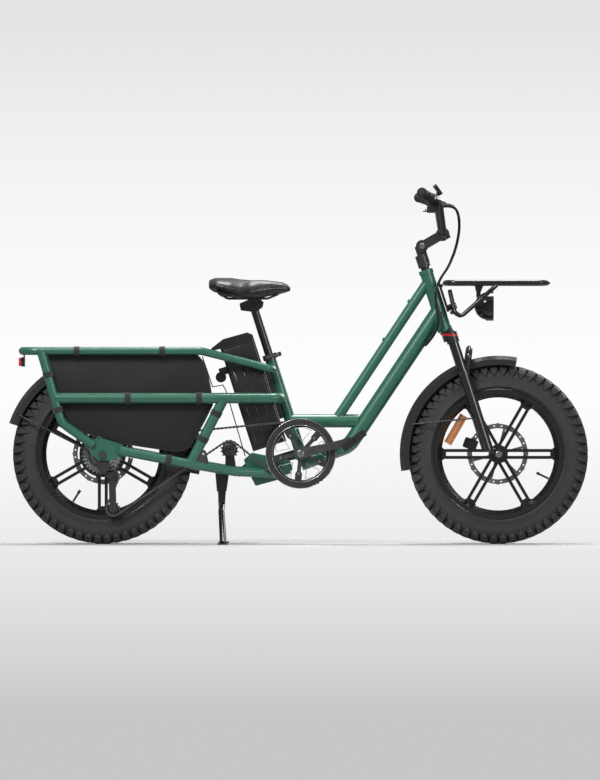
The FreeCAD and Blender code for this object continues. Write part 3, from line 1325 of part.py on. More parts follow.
def rear_fender_stays():
    """Stays of the rear fender, ended on the dropouts and the hanger."""
    stays = fender_stay(REAR_AXLE, 155, V(-650, DROPOUT_THICK / 2 - DROPOUT_Y, 288))
    return stays.cut(both(dropout_outline())).cut(hanger())


def fender_stay(axle, angle, end, y=FENDER_HALF + 3):
    """Thin rod from the fender's skirt to a fixing near the axle, both sides."""
    start = polar(axle, FENDER_SKIRT_R + 8, angle, y)
    return both(rod(V(start.x, -start.y, start.z), end, 2.5))


# ---- cables --------------------------------------------------------------------------------
def bar_cables():
    """Cable bundle that rises from the controls and drops in front of the stem."""
    line = [V(452, -150, 1082), V(478, -104, 1088), V(508, -52, 1072), V(516, -24, 1018), V(506, -12, 958),
            V(494, -8, 924)]
    return cable(line, 5.0)


def loom():
    """Main loom from the stem, round the head tube, into the down tube."""
    line = [V(493.8, -7.9, 923.4), V(482, -4, 890), V(452, -36, 850), V(436, -44, 806), V(440, -44, 756),
            V(450, -42, 706), V(428, -40, 660), V(404, -28, 634)]
    return cable(line, 5.0)


def spindle_and_left_crank():
    """Crank spindle in one piece with the left crank."""
    arm = mirrored(crank_arm(CRANK_ANGLE + 180, -104, -90))
    return fused(arm, disc(BB, SPINDLE_R, -104, 92))


def seat_lever():
    """Quick-release lever of the seat collar, on a pin between the collar's ears."""
    at = seat_lever_pivot()
    boss = disc(at, 6.5, -16, -8.5)
    blade = sweep([at + V(0, -12, 0), at + V(0, -34, 0) + SEAT_FWD * -6, at + V(0, -34, 0) + SEAT_FWD * -44], 10, 3.4)
    return fused(boss, blade)


def seat_lever_pivot():
    """Point on the seat lever's pivot axis."""
    return seat_top() + SEAT_FWD * 30 - SEAT_UP * 8


def group(*shapes):
    """Several separate solids kept in one node."""
    return Part.makeCompound(list(shapes))


def main_frame():
    """Welded front frame: head tube, top tube, down tube, strut and seat tube with its crank shell."""
    return fused(head_tube(), top_tube(), down_tube(), level_strut(), seat_tube(), *bottle_bosses().Solids)


# ---- nodes ---------------------------------------------------------------------------------
def nodes():
    """Every sub-part by node name."""
    frame = {
        "main_frame": main_frame(), "frame_bearings": group(headset(), crank_bearings()),
        "base_box": group(base_box(), controller()), "battery_mount": group(battery_bracket(), battery_rail()),
        "rear_rails": group(both(top_rail()), both(mid_rail()), cross_tubes()),
        "rear_stays": group(both(upright()), both(lower_stay()), both(diagonal())),
        "dropouts": group(both(dropout()), both(stay_lug()),
                          axle_with_nuts(REAR_AXLE, DROPOUT_Y + DROPOUT_THICK / 2 + 9)),
        "side_panels": both(panel()), "panel_straps": both(straps()),
        "rear_fender": group(fender(REAR_AXLE, REAR_FENDER_SPAN), rear_fender_stays()),
        "rear_light": group(rear_light(), rear_lens()), "stay_brackets": group(stand_mount(), idler_bracket()),
        "derailleur": derailleur(), "chain": chain(), "rear_caliper": caliper(REAR_AXLE, 32),
        "seat_collar": seat_collar(), "rack_platform": rack_platform(),
        "rack_struts": group(rack_struts(), rack_bolts(), lamp_bracket()), "cable_loom": loom(),
    }
    drive = {
        "cassette": cassette(), "idler_wheel": pulley(IDLER, IDLER_TEETH, PULLEY_BORE),
        "upper_jockey": pulley(UPPER_JOCKEY, JOCKEY_TEETH, PULLEY_BORE),
        "lower_jockey": pulley(LOWER_JOCKEY, JOCKEY_TEETH, PULLEY_BORE),
        "right_crank": group(spider_and_crank(), pedal_axle(-1)),
        "left_crank": group(spindle_and_left_crank(), pedal_axle(1)),
        "chain_ring": chain_ring(), "chain_guard": group(chain_guard(), ring_bolts()),
        "pedal_right": pedal(-1), "pedal_left": pedal(1), "center_stand": stand(),
    }
    wheels = {
        "front_tyre": tyre(FRONT_AXLE), "front_rotor": rotor(FRONT_AXLE), "rear_rotor": rotor(REAR_AXLE),
        "front_cast_wheel": group(cast_wheel(FRONT_AXLE, FRONT_HUB_R, FRONT_HUB_HALF, FRONT_SPOKE_TURN,
                                             AXLE_R + RUN_FIT).fuse(rotor_carrier(FRONT_AXLE, FRONT_HUB_HALF)),
                                  valve(FRONT_AXLE, FRONT_VALVE_ANGLE)),
        "front_reflector": wheel_reflector(FRONT_AXLE, 150, 152), "rear_tyre": tyre(REAR_AXLE),
        "rear_cast_wheel": group(cast_wheel(REAR_AXLE, REAR_HUB_R, REAR_HUB_HALF, REAR_SPOKE_TURN,
                                            AXLE_R + RUN_FIT).fuse(rotor_carrier(REAR_AXLE, REAR_HUB_HALF)),
                                 valve(REAR_AXLE, REAR_VALVE_ANGLE)),
    }
    front = {
        "fork_crown": group(steerer_and_crown().cut(adjuster_rings()), adjuster_rings()),
        "stanchions": group(stanchion(-1), stanchion(1)),
        "fork_lowers": group(fork_lowers(), axle_with_nuts(FRONT_AXLE, LEG_Y + 18)),
        "front_fender": group(fender(FRONT_AXLE, FRONT_FENDER_SPAN),
                              fender_stay(FRONT_AXLE, 161, V(552, -LEG_Y - LOWER_LEG_R - 1, 402))),
        "front_caliper": caliper(FRONT_AXLE, 160), "stem_base": stem_base(),
        "stem_arm": group(stem_arm(), stem_faceplate()), "handlebar": handlebar(), "grips": both(grip()),
        "bar_controls": group(both(brake_perch()), both(control_pod(POD_DEPTH))), "display": display(),
        "bar_cables": bar_cables(), "brake_lever_right": brake_lever(), "brake_lever_left": mirrored(brake_lever()),
        "shift_lever": shift_lever(), "button_up": remote_button(BUTTON_STEP), "button_down": remote_button(-BUTTON_STEP),
        "headlight": group(headlight(), headlight_lens()),
    }
    seat_parts = {
        "seatpost": seatpost(), "saddle": saddle(),
        "saddle_base": group(saddle_base().cut(saddle_rails()), saddle_rails()),
        "seat_lever": seat_lever(), "battery": group(battery_case(), battery_cap()),
    }
    return {**frame, **drive, **wheels, **front, **seat_parts}


if __name__ == "__main__":
    os.makedirs("parts", exist_ok=True)
    for name, shape in nodes().items():
        print(name, len(shape.Solids), shape.isValid(), round(shape.Volume / 1000, 1))
        shape.exportStep(f"parts/{name}.step")
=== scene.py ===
import json
import logging
import math
from dataclasses import dataclass, field
from enum import Enum
from typing import Any, Sequence

import bmesh
import bpy
from mathutils import Matrix, Vector

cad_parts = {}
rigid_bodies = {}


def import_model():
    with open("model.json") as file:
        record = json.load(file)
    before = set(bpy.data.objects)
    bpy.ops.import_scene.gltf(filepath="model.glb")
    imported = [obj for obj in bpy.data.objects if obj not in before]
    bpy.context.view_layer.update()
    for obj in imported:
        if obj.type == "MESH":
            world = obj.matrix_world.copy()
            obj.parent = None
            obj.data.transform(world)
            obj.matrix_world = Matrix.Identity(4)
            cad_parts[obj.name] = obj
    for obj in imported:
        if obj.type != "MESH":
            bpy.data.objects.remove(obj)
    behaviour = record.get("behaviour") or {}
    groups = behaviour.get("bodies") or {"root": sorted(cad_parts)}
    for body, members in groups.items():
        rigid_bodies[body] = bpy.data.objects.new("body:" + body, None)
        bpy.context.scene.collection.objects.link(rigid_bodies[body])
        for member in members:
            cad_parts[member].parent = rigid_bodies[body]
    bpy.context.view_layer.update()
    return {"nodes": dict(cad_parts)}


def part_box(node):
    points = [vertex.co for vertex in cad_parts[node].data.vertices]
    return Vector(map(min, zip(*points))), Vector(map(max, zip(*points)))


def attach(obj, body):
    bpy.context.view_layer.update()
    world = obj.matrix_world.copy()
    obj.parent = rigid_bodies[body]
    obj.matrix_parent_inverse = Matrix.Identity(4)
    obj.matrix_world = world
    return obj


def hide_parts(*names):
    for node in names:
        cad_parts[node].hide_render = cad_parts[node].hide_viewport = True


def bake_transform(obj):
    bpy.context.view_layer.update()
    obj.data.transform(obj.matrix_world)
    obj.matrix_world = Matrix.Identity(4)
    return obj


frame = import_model()
LOG = logging.getLogger("cargo_bicycle")
Point = tuple[float, float, float]
Colour = tuple[float, float, float]
Outline = Sequence[tuple[float, float]]
Spot = tuple[Vector, Matrix]
Values = dict[Any, Any]
ACROSS = Vector((0.0, 1.0, 0.0))
AHEAD = Vector((1.0, 0.0, 0.0))


class Side(Enum):
    """Side of the bicycle as the sign of Y."""

    RIGHT = -1
    LEFT = 1


# ---- node graphs ---------------------------------------------------------------------------
class Num:
    """Number in a node graph, with Python operators that add Math nodes."""

    def __init__(self, graph: "Graph", socket: Any) -> None:
        """Wrap an output socket or a plain number."""
        self.graph = graph
        self.socket = socket

    def _math(self, operation: str, *values: Any) -> "Num":
        """Add one Math node."""
        inputs = dict(enumerate(values))
        return Num(self.graph, self.graph.add("ShaderNodeMath", {"operation": operation}, inputs))

    def __add__(self, other: Any) -> "Num":
        """Sum."""
        return self._math("ADD", self, other)

    __radd__ = __add__

    def __sub__(self, other: Any) -> "Num":
        """Difference."""
        return self._math("SUBTRACT", self, other)

    def __rsub__(self, other: Any) -> "Num":
        """Reflected difference."""
        return self._math("SUBTRACT", other, self)

    def __mul__(self, other: Any) -> "Num":
        """Product."""
        return self._math("MULTIPLY", self, other)

    __rmul__ = __mul__

    def __truediv__(self, other: Any) -> "Num":
        """Quotient."""
        return self._math("DIVIDE", self, other)

    def __pow__(self, other: Any) -> "Num":
        """Power."""
        return self._math("POWER", self, other)

    def sine(self) -> "Num":
        """Sine."""
        return self._math("SINE", self)

    def above(self, limit: Any) -> "Num":
        """One where the value is above a limit."""
        return self._math("GREATER_THAN", self, limit)

    def clamped(self) -> "Num":
        """Value held between nought and one."""
        node = self.graph.make("ShaderNodeClamp", {}, {0: self})
        return Num(self.graph, node.outputs[0])


class Graph:
    """Builder for one node tree."""

    def __init__(self, tree: bpy.types.NodeTree) -> None:
        """Keep the tree that nodes are added to."""
        self.tree = tree

    def make(self, kind: str, settings: Values | None = None, inputs: Values | None = None) -> Any:
        """Add a node.

        Args:
            kind: Node type name.
            settings: Attributes set on the node.
            inputs: Values or sockets by input name or number.

        Returns:
            The new node.
        """
        node = self.tree.nodes.new(kind)
        for key, value in (settings or {}).items():
            setattr(node, key, value)
        for key, value in (inputs or {}).items():
            socket = node.inputs[key]
            if isinstance(value, Num):
                value = value.socket
            if isinstance(value, bpy.types.NodeSocket):
                self.tree.links.new(value, socket)
            else:
                socket.default_value = value
        return node

    def add(self, kind: str, settings: Values | None = None, inputs: Values | None = None) -> Any:
        """Add a node and return its first output."""
        return self.make(kind, settings, inputs).outputs[0]

    def num(self, socket: Any) -> Num:
        """Wrap a socket for arithmetic."""
        return Num(self, socket)


class Surface(Graph):
    """Material graph on a Principled shader."""

    def __init__(self, name: str) -> None:
        """Start an empty material."""
        self.material = bpy.data.materials.new(name)
        self.material.use_nodes = True
        super().__init__(self.material.node_tree)
        self.shader = self.tree.nodes["Principled BSDF"]
        self.coords = self.make("ShaderNodeTexCoord").outputs["Object"]

    def noise(self, scale: float, detail: float = 3.0, rough: float = 0.55) -> Num:
        """Smooth noise over the object, from 0 to 1."""
        inputs = {"Vector": self.coords, "Scale": scale, "Detail": detail, "Roughness": rough}
        return self.num(self.add("ShaderNodeTexNoise", {}, inputs))

    def axes(self) -> list[Num]:
        """Object coordinates along X, Y and Z."""
        split = self.make("ShaderNodeSeparateXYZ", {}, {0: self.coords})
        return [self.num(socket) for socket in split.outputs]

    def cells(self, scale: float) -> Num:
        """Distance to the nearest cell centre."""
        inputs = {"Vector": self.coords, "Scale": scale}
        return self.num(self.add("ShaderNodeTexVoronoi", {"feature": "F1"}, inputs))

    def edges(self) -> Num:
        """One on worn convex edges."""
        sharp = self.num(self.make("ShaderNodeNewGeometry").outputs["Pointiness"])
        return ((sharp - 0.52) * 9).clamped()

    def mix(self, factor: Any, first: Any, second: Any) -> Any:
        """Mix two colours."""
        node = self.make("ShaderNodeMix", {"data_type": "RGBA"}, {0: factor})
        for slot, value in ((6, first), (7, second)):
            if isinstance(value, tuple):
                node.inputs[slot].default_value = (*value, 1.0)
            else:
                self.tree.links.new(value, node.inputs[slot])
        return node.outputs[2]

    def set(self, name: str, value: Any) -> None:
        """Set or link one socket of the shader."""
        socket = self.shader.inputs[name]
        if isinstance(value, Num):
            value = value.socket
        if isinstance(value, bpy.types.NodeSocket):
            self.tree.links.new(value, socket)
        elif isinstance(value, tuple) and len(value) == 3 and socket.type == "RGBA":
            socket.default_value = (*value, 1.0)
        else:
            socket.default_value = value

    def bump(self, height: Num, strength: float, distance: float) -> None:
        """Raise the surface by a height pattern."""
        inputs = {"Height": height, "Strength": strength, "Distance": distance}
        node = self.make("ShaderNodeBump", {}, inputs)
        self.set("Normal", node.outputs[0])


# ---- finishes ------------------------------------------------------------------------------
GREEN = (0.030, 0.148, 0.092)
SOOT = (0.010, 0.010, 0.011)
CHARCOAL = (0.014, 0.014, 0.015)


@dataclass(frozen=True)
class SatinPaint:
    """Powder-coated metal with a fine orange peel under a satin coat."""

    name: str
    colour: Colour
    deep: Colour
    rough: float = 0.36
    coat: float = 0.35

    def build(self) -> bpy.types.Material:
        """Make the material."""
        s = Surface(self.name)
        tone = s.noise(5.0, 2.0)
        worn = s.edges() * (s.noise(60.0) - 0.35).clamped()
        base = s.mix(tone, self.deep, self.colour)
        bare = tuple(min(1.0, c * 1.7 + 0.02) for c in self.colour)
        s.set("Base Color", s.mix(worn * 0.5, base, bare))
        s.set("Roughness", self.rough + (s.noise(140.0) - 0.5) * 0.14)
        s.set("Coat Weight", self.coat)
        s.set("Coat Roughness", 0.16)
        s.bump(s.noise(900.0, 2.0) + s.noise(260.0, 1.0) * 0.6, 0.12, 0.0004)
        return s.material


@dataclass(frozen=True)
class ZonedPaint:
    """Paint with a second colour between two limits along an axis, bare metal where it is on both sides."""

    name: str
    colour: Colour
    second: Colour
    axis: int
    low: float
    high: float
    both_sides: bool

    def build(self) -> bpy.types.Material:
        """Make the material."""
        s = Surface(self.name)
        at = s.axes()[self.axis]
        if self.both_sides:
            at = (at * at) ** 0.5
        inside = at.above(self.low) * (1.0 - at.above(self.high))
        tone = 0.88 + s.noise(12.0) * 0.24
        plain = s.mix(tone - 0.5, tuple(c * 0.75 for c in self.colour), self.colour)
        s.set("Base Color", s.mix(inside, plain, self.second))
        s.set("Metallic", inside * (0.8 if self.both_sides else 0.0))
        s.set("Roughness", 0.34 - inside * 0.08 + (s.noise(130.0) - 0.5) * 0.12)
        s.set("Coat Weight", 0.35)
        s.bump(s.noise(800.0, 2.0), 0.12, 0.0004)
        return s.material


@dataclass(frozen=True)
class MouldedPlastic:
    """Moulded plastic with a spark-eroded grain."""

    name: str
    colour: Colour
    rough: float = 0.5
    grain: float = 900.0
    depth: float = 0.25
    spec: float = 0.4

    def build(self) -> bpy.types.Material:
        """Make the material."""
        s = Surface(self.name)
        light = tuple(min(1.0, c * 1.55 + 0.006) for c in self.colour)
        s.set("Base Color", s.mix(s.noise(9.0, 4.0), self.colour, light))
        s.set("Roughness", self.rough + (s.noise(70.0) - 0.5) * 0.18 - s.edges() * 0.1)
        s.set("Specular IOR Level", self.spec)
        s.bump(s.cells(self.grain), self.depth, 0.0003)
        return s.material


@dataclass(frozen=True)
class TyreRubber:
    """Dusty tyre rubber."""

    name: str = "tyre_rubber"
    colour: Colour = (0.032, 0.032, 0.033)

    def build(self) -> bpy.types.Material:
        """Make the material."""
        s = Surface(self.name)
        dust = (s.noise(16.0, 5.0, 0.65) - 0.3).clamped()
        s.set("Base Color", s.mix(dust, self.colour, (0.060, 0.059, 0.059)))
        s.set("Roughness", 0.62 + dust * 0.25 - s.edges() * 0.15)
        s.set("Specular IOR Level", 0.35)
        s.bump(s.noise(420.0, 4.0) + s.cells(1500.0) * 0.5, 0.3, 0.0005)
        return s.material


@dataclass(frozen=True)
class BrushedMetal:
    """Machined or brushed metal with directional streaks."""

    name: str
    colour: Colour
    rough: float = 0.32
    metal: float = 1.0

    def build(self) -> bpy.types.Material:
        """Make the material."""
        s = Surface(self.name)
        stretched = s.add("ShaderNodeMapping", {}, {"Vector": s.coords, "Scale": (30.0, 900.0, 60.0)})
        streak = s.num(s.add("ShaderNodeTexNoise", {}, {"Vector": stretched, "Scale": 1.0, "Detail": 3.0}))
        dull = tuple(c * 0.62 for c in self.colour)
        s.set("Base Color", s.mix(streak * 0.7 + s.noise(40.0) * 0.3, dull, self.colour))
        s.set("Metallic", self.metal)
        s.set("Roughness", self.rough + (streak - 0.5) * 0.25)
        s.bump(streak, 0.1, 0.0002)
        return s.material


@dataclass(frozen=True)
class SaddleSkin:
    """Smooth synthetic leather with a fine pebble."""

    name: str = "saddle_skin"

    def build(self) -> bpy.types.Material:
        """Make the material."""
        s = Surface(self.name)
        pebble = s.cells(420.0)
        s.set("Base Color", s.mix(s.noise(14.0, 4.0), (0.010, 0.010, 0.011), (0.024, 0.024, 0.025)))
        s.set("Roughness", 0.3 + pebble * 0.12 + s.noise(30.0) * 0.1)
        s.set("Specular IOR Level", 0.55)
        s.bump(pebble + s.noise(1100.0) * 0.3, 0.22, 0.0005)
        return s.material


@dataclass(frozen=True)
class Webbing:
    """Woven nylon strap."""

    name: str = "strap_web"
    colour: Colour = (0.012, 0.012, 0.013)
    pitch: float = 1100.0

    def build(self) -> bpy.types.Material:
        """Make the material."""
        s = Surface(self.name)
        x, y, z = s.axes()
        weave = (x * self.pitch).sine() * ((y + z) * self.pitch).sine()
        s.set("Base Color", s.mix(weave * 0.5 + 0.5, self.colour, (0.034, 0.034, 0.036)))
        s.set("Roughness", 0.85)
        s.set("Sheen Weight", 0.25)
        s.bump(weave, 0.5, 0.0006)
        return s.material


@dataclass(frozen=True)
class Prism:
    """Clear or tinted reflector plastic over a prism grid."""

    name: str
    colour: Colour
    deep: Colour
    clear: float = 0.0

    def build(self) -> bpy.types.Material:
        """Make the material."""
        s = Surface(self.name)
        x, _, z = s.axes()
        grid = ((x + z) * 1500.0).sine() * ((x - z) * 1500.0).sine()
        s.set("Base Color", s.mix(grid * 0.5 + 0.5, self.deep, self.colour))
        s.set("Roughness", 0.14 + s.noise(80.0) * 0.1)
        s.set("Coat Weight", 0.6)
        s.set("Transmission Weight", self.clear)
        s.bump(grid, 0.35, 0.0006)
        return s.material


class Workshop:
    """All finishes of the bicycle by name."""

    def __init__(self) -> None:
        """Build all the materials."""
        finishes = [
            SatinPaint("green_paint", GREEN, (0.022, 0.118, 0.072), 0.33, 0.4),
            SatinPaint("black_paint", SOOT, (0.006, 0.006, 0.007), 0.26, 0.4),
            SatinPaint("black_alloy", (0.030, 0.030, 0.031), (0.018, 0.018, 0.019), 0.38, 0.2),
            SatinPaint("fork_black", CHARCOAL, (0.008, 0.008, 0.009), 0.22, 0.5),
            MouldedPlastic("black_plastic", (0.012, 0.012, 0.013), 0.44),
            MouldedPlastic("panel_sheet", (0.0105, 0.0105, 0.011), 0.6, 500.0, 0.16, 0.3),
            MouldedPlastic("gloss_plastic", SOOT, 0.16, 300.0, 0.05, 0.5),
            MouldedPlastic("grip_rubber", (0.016, 0.016, 0.016), 0.7, 1400.0, 0.4, 0.3),
            MouldedPlastic("cable_jacket", (0.012, 0.012, 0.013), 0.4, 900.0, 0.15, 0.45),
            MouldedPlastic("battery_shell", SOOT, 0.36, 700.0, 0.15, 0.5),
            MouldedPlastic("fender_shell", CHARCOAL, 0.4, 600.0, 0.12, 0.45),
            MouldedPlastic("thread", (0.030, 0.030, 0.032), 0.7, 2000.0, 0.3, 0.2),
            BrushedMetal("steel", (0.42, 0.42, 0.43), 0.34),
            BrushedMetal("bright_steel", (0.72, 0.72, 0.74), 0.22),
            BrushedMetal("chain_steel", (0.20, 0.20, 0.205), 0.34),
            BrushedMetal("dark_steel", (0.10, 0.10, 0.105), 0.38),
            BrushedMetal("bare_alloy", (0.36, 0.36, 0.37), 0.36),
            BrushedMetal("crank_alloy", (0.13, 0.13, 0.135), 0.4, 0.8),
            BrushedMetal("stanchion_metal", (0.11, 0.11, 0.115), 0.16),
            ZonedPaint("green_plates", GREEN, (0.12, 0.12, 0.125), 1, 0.1065, 1.0, True),
            ZonedPaint("rear_lamp", SOOT, (0.55, 0.012, 0.014), 0, -2.0, -0.8878, False),
            ZonedPaint("crown_black", CHARCOAL, (0.50, 0.015, 0.020), 2, 0.6655, 0.6725, False),
            Prism("amber_prism", (0.75, 0.33, 0.13), (0.50, 0.17, 0.05)),
            Prism("red_prism", (0.62, 0.012, 0.014), (0.30, 0.004, 0.006)),
            Prism("lamp_glass", (0.92, 0.92, 0.94), (0.80, 0.80, 0.83), 0.75),
            TyreRubber(),
            SaddleSkin(),
            Webbing(),
        ]
        self.materials = {f.name: f.build() for f in finishes}

    def __getitem__(self, name: str) -> bpy.types.Material:
        """Look a finish up."""
        return self.materials[name]

    def dress(self, node: str, name: str) -> None:
        """Give a CAD node one finish on all its slots."""
        piece = frame["nodes"][node]
        for slot in piece.material_slots:
            slot.material = self[name]
        LOG.info("node %s wears %s", node, name)


# ---- mesh helpers --------------------------------------------------------------------------
def linked(name: str, data: Any) -> Any:
    """Object for a mesh or a curve, linked to the scene."""
    piece = bpy.data.objects.new(name, data)
    bpy.context.collection.objects.link(piece)
    return piece


def baked(piece: Any) -> bpy.types.Mesh:
    """Plain mesh of a piece with its modifiers applied."""
    graph = bpy.context.evaluated_depsgraph_get()
    return bpy.data.meshes.new_from_object(piece.evaluated_get(graph), depsgraph=graph)


def mesh_piece(name: str, verts: Sequence[Point], faces: Sequence[Sequence[int]], smooth: bool = True) -> Any:
    """Make an object from vertices and faces, with outward normals.

    Args:
        name: Object name.
        verts: Vertex positions in metres.
        faces: Vertex numbers of each face.
        smooth: Whether faces are shaded smooth.

    Returns:
        The new object, linked to the scene.
    """
    mesh = bpy.data.meshes.new(name)
    mesh.from_pydata([tuple(v) for v in verts], [], [tuple(f) for f in faces])
    work = bmesh.new()
    work.from_mesh(mesh)
    bmesh.ops.remove_doubles(work, verts=work.verts, dist=1e-6)
    bmesh.ops.recalc_face_normals(work, faces=work.faces)
    work.to_mesh(mesh)
    work.free()
    if smooth:
        mesh.shade_smooth()
    return linked(name, mesh)


def finish_piece(piece: Any, material: bpy.types.Material, body: str, *nodes: str) -> Any:
    """Give a piece its material, the body it rides on and the CAD nodes it stands for."""
    piece.data.materials.clear()
    piece.data.materials.append(material)
    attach(piece, body)
    if nodes:
        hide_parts(*nodes)
    LOG.info("piece %s on %s: %d faces", piece.name, body, len(getattr(piece.data, "polygons", [])))
    return piece


def polar(axle: Vector, radius: float, angle: float, y: float = 0.0) -> Vector:
    """Point at an angle in degrees in a wheel's plane."""
    turn = math.radians(angle)
    return Vector((axle.x + radius * math.cos(turn), y, axle.z + radius * math.sin(turn)))


def revolve(name: str, profile: Outline, start: Vector, steps: int, smooth: bool = True,
            axis: Vector = ACROSS) -> Any:
    """Closed profile turned about a line.

    Args:
        name: Object name.
        profile: Points as (radius, distance along the axis from the start).
        start: Point on the axis.
        steps: Number of sectors.
        smooth: Whether faces are shaded smooth.
        axis: Direction of the axis.

    Returns:
        The new object.
    """
    place = Matrix.Translation(start) @ axis.to_track_quat("Z", "Y").to_matrix().to_4x4()
    verts, faces = [], []
    count = len(profile)
    for i in range(steps):
        turned = place @ Matrix.Rotation(math.tau * i / steps, 4, "Z")
        verts += [turned @ Vector((radius, 0.0, along)) for radius, along in profile]
        for j in range(count):
            k = (j + 1) % count
            if profile[j][0] or profile[k][0]:
                ahead = (i + 1) % steps
                faces.append((i * count + j, i * count + k, ahead * count + k, ahead * count + j))
    return mesh_piece(name, verts, faces, smooth)


def tube(name: str, line: Sequence[Point], radius: float, sides: int = 12, smooth_line: bool = True) -> Any:
    """Round tube along given points, smoothed as a NURBS line."""
    curve = bpy.data.curves.new(name, "CURVE")
    curve.dimensions = "3D"
    spline = curve.splines.new("NURBS" if smooth_line else "POLY")
    spline.points.add(len(line) - 1)
    for point, place in zip(spline.points, line):
        point.co = (*place, 1.0)
    if smooth_line:
        spline.order_u = 3
        spline.use_endpoint_u = True
    curve.resolution_u = 8
    curve.bevel_depth = radius
    curve.bevel_resolution = max(1, sides // 4 - 1)
    curve.use_fill_caps = True
    holder = linked(name + "_line", curve)
    mesh = bpy.data.meshes.new_from_object(holder)
    bpy.data.objects.remove(holder)
    mesh.name = name
    mesh.shade_smooth()
    return linked(name, mesh)


def bevelled(piece: Any, width: float, segments: int = 2) -> Any:
    """Round the edges of a piece for good."""
    work = bmesh.new()
    work.from_mesh(piece.data)
    sharp = [e for e in work.edges if len(e.link_faces) == 2 and e.calc_face_angle(0) > 0.5]
    bmesh.ops.bevel(work, geom=sharp, offset=width, segments=segments, affect="EDGES", profile=0.6)
    work.to_mesh(piece.data)
    work.free()
    return piece


def joined(name: str, pieces: Sequence[Any]) -> Any:
    """Merge meshes of one finish into one object."""
    work = bmesh.new()
    for piece in pieces:
        work.from_mesh(piece.data)
        bpy.data.objects.remove(piece)
    mesh = bpy.data.meshes.new(name)
    work.to_mesh(mesh)
    work.free()
    mesh.shade_smooth()
    return linked(name, mesh)


# ---- repeated pieces -----------------------------------------------------------------------
TURN = "turn"


class Scatter:
    """Copies one small mesh onto placed points with Geometry Nodes."""

    def __init__(self) -> None:
        """Build the node group."""
        self.tree = bpy.data.node_groups.new("scatter_pieces", "GeometryNodeTree")
        face = self.tree.interface
        face.new_socket("Geometry", in_out="INPUT", socket_type="NodeSocketGeometry")
        kinds = {"Piece": "Object", "Finish": "Material", "Size Spread": "Float", "Seed": "Int"}
        self.ids = {
            label: face.new_socket(label, in_out="INPUT", socket_type="NodeSocket" + kind).identifier
            for label, kind in kinds.items()}
        face.new_socket("Geometry", in_out="OUTPUT", socket_type="NodeSocketGeometry")
        graph = Graph(self.tree)
        given = graph.make("NodeGroupInput").outputs
        shape = graph.make("GeometryNodeObjectInfo", {}, {"Object": given["Piece"]}).outputs["Geometry"]
        turn = graph.add("GeometryNodeInputNamedAttribute", {"data_type": "FLOAT_VECTOR"}, {"Name": TURN})
        spin = graph.add("FunctionNodeEulerToRotation", {}, {0: turn})
        spread = graph.num(given["Size Spread"])
        chance = graph.make("FunctionNodeRandomValue", {"data_type": "FLOAT"}, {"Seed": given["Seed"]})
        size = 1.0 - spread * graph.num(chance.outputs[1])
        copies = graph.add("GeometryNodeInstanceOnPoints", {}, {
            "Points": given["Geometry"], "Instance": shape, "Rotation": spin, "Scale": size})
        solid = graph.add("GeometryNodeRealizeInstances", {}, {"Geometry": copies})
        painted = graph.add("GeometryNodeSetMaterial", {}, {"Geometry": solid, "Material": given["Finish"]})
        graph.make("NodeGroupOutput", {}, {"Geometry": painted})

    def place(self, name: str, source: Any, spots: Sequence[Spot], material: Any,
              spread: float = 0.0, seed: int = 7) -> Any:
        """Copy a piece onto each spot and return one plain mesh.

        Args:
            name: Name of the result.
            source: Small mesh object drawn about the origin; it is removed.
            spots: Place and 3 x 3 turn of every copy.
            material: Finish of the copies.
            spread: Largest share by which a copy may be smaller.
            seed: Seed of the size draw.

        Returns:
            The new object.
        """
        mesh = bpy.data.meshes.new(name + "_spots")
        mesh.from_pydata([tuple(place) for place, _ in spots], [], [])
        turns = mesh.attributes.new(TURN, "FLOAT_VECTOR", "POINT")
        for entry, (_, matrix) in zip(turns.data, spots):
            entry.vector = tuple(matrix.to_euler())
        holder = linked(name + "_holder", mesh)
        modifier = holder.modifiers.new("scatter", "NODES")
        modifier.node_group = self.tree
        inputs = {"Piece": source, "Finish": material, "Size Spread": spread, "Seed": seed}
        for label, value in inputs.items():
            modifier[self.ids[label]] = value
        bpy.context.view_layer.update()
        plain = baked(holder)
        plain.name = name
        bpy.data.objects.remove(holder)
        bpy.data.objects.remove(source)
        return linked(name, plain)


def wheel_turn(angle: float) -> Matrix:
    """Turn that points local X outwards at an angle in a wheel's plane, Y across and Z along the rim."""
    return Matrix.Rotation(-math.radians(angle), 3, "Y")


def prism(name: str, outline: Outline, y0: float, y1: float) -> Any:
    """Closed prism over an outline in the X-Z plane, between two values of Y."""
    count = len(outline)
    verts = [(x, y, z) for y in (y0, y1) for x, z in outline]
    faces = [tuple(range(count)), tuple(range(count, 2 * count))]
    faces += [(i, (i + 1) % count, count + (i + 1) % count, count + i) for i in range(count)]
    return mesh_piece(name, verts, faces, smooth=False)


def circle(radius: float, count: int) -> list[tuple[float, float]]:
    """Points evenly round a circle about the origin."""
    return [(radius * math.cos(math.tau * k / count), radius * math.sin(math.tau * k / count))
            for k in range(count)]


# ---- wheels --------------------------------------------------------------------------------
FRONT_AXLE = Vector((0.639, 0.0, 0.288))
REAR_AXLE = Vector((-0.628, 0.0, 0.288))


@dataclass(frozen=True)
class KnobRow:
    """Row of knobs at a distance from the middle of the tread."""

    y: float
    width: float
    length: float
    shift: float
    skew: float


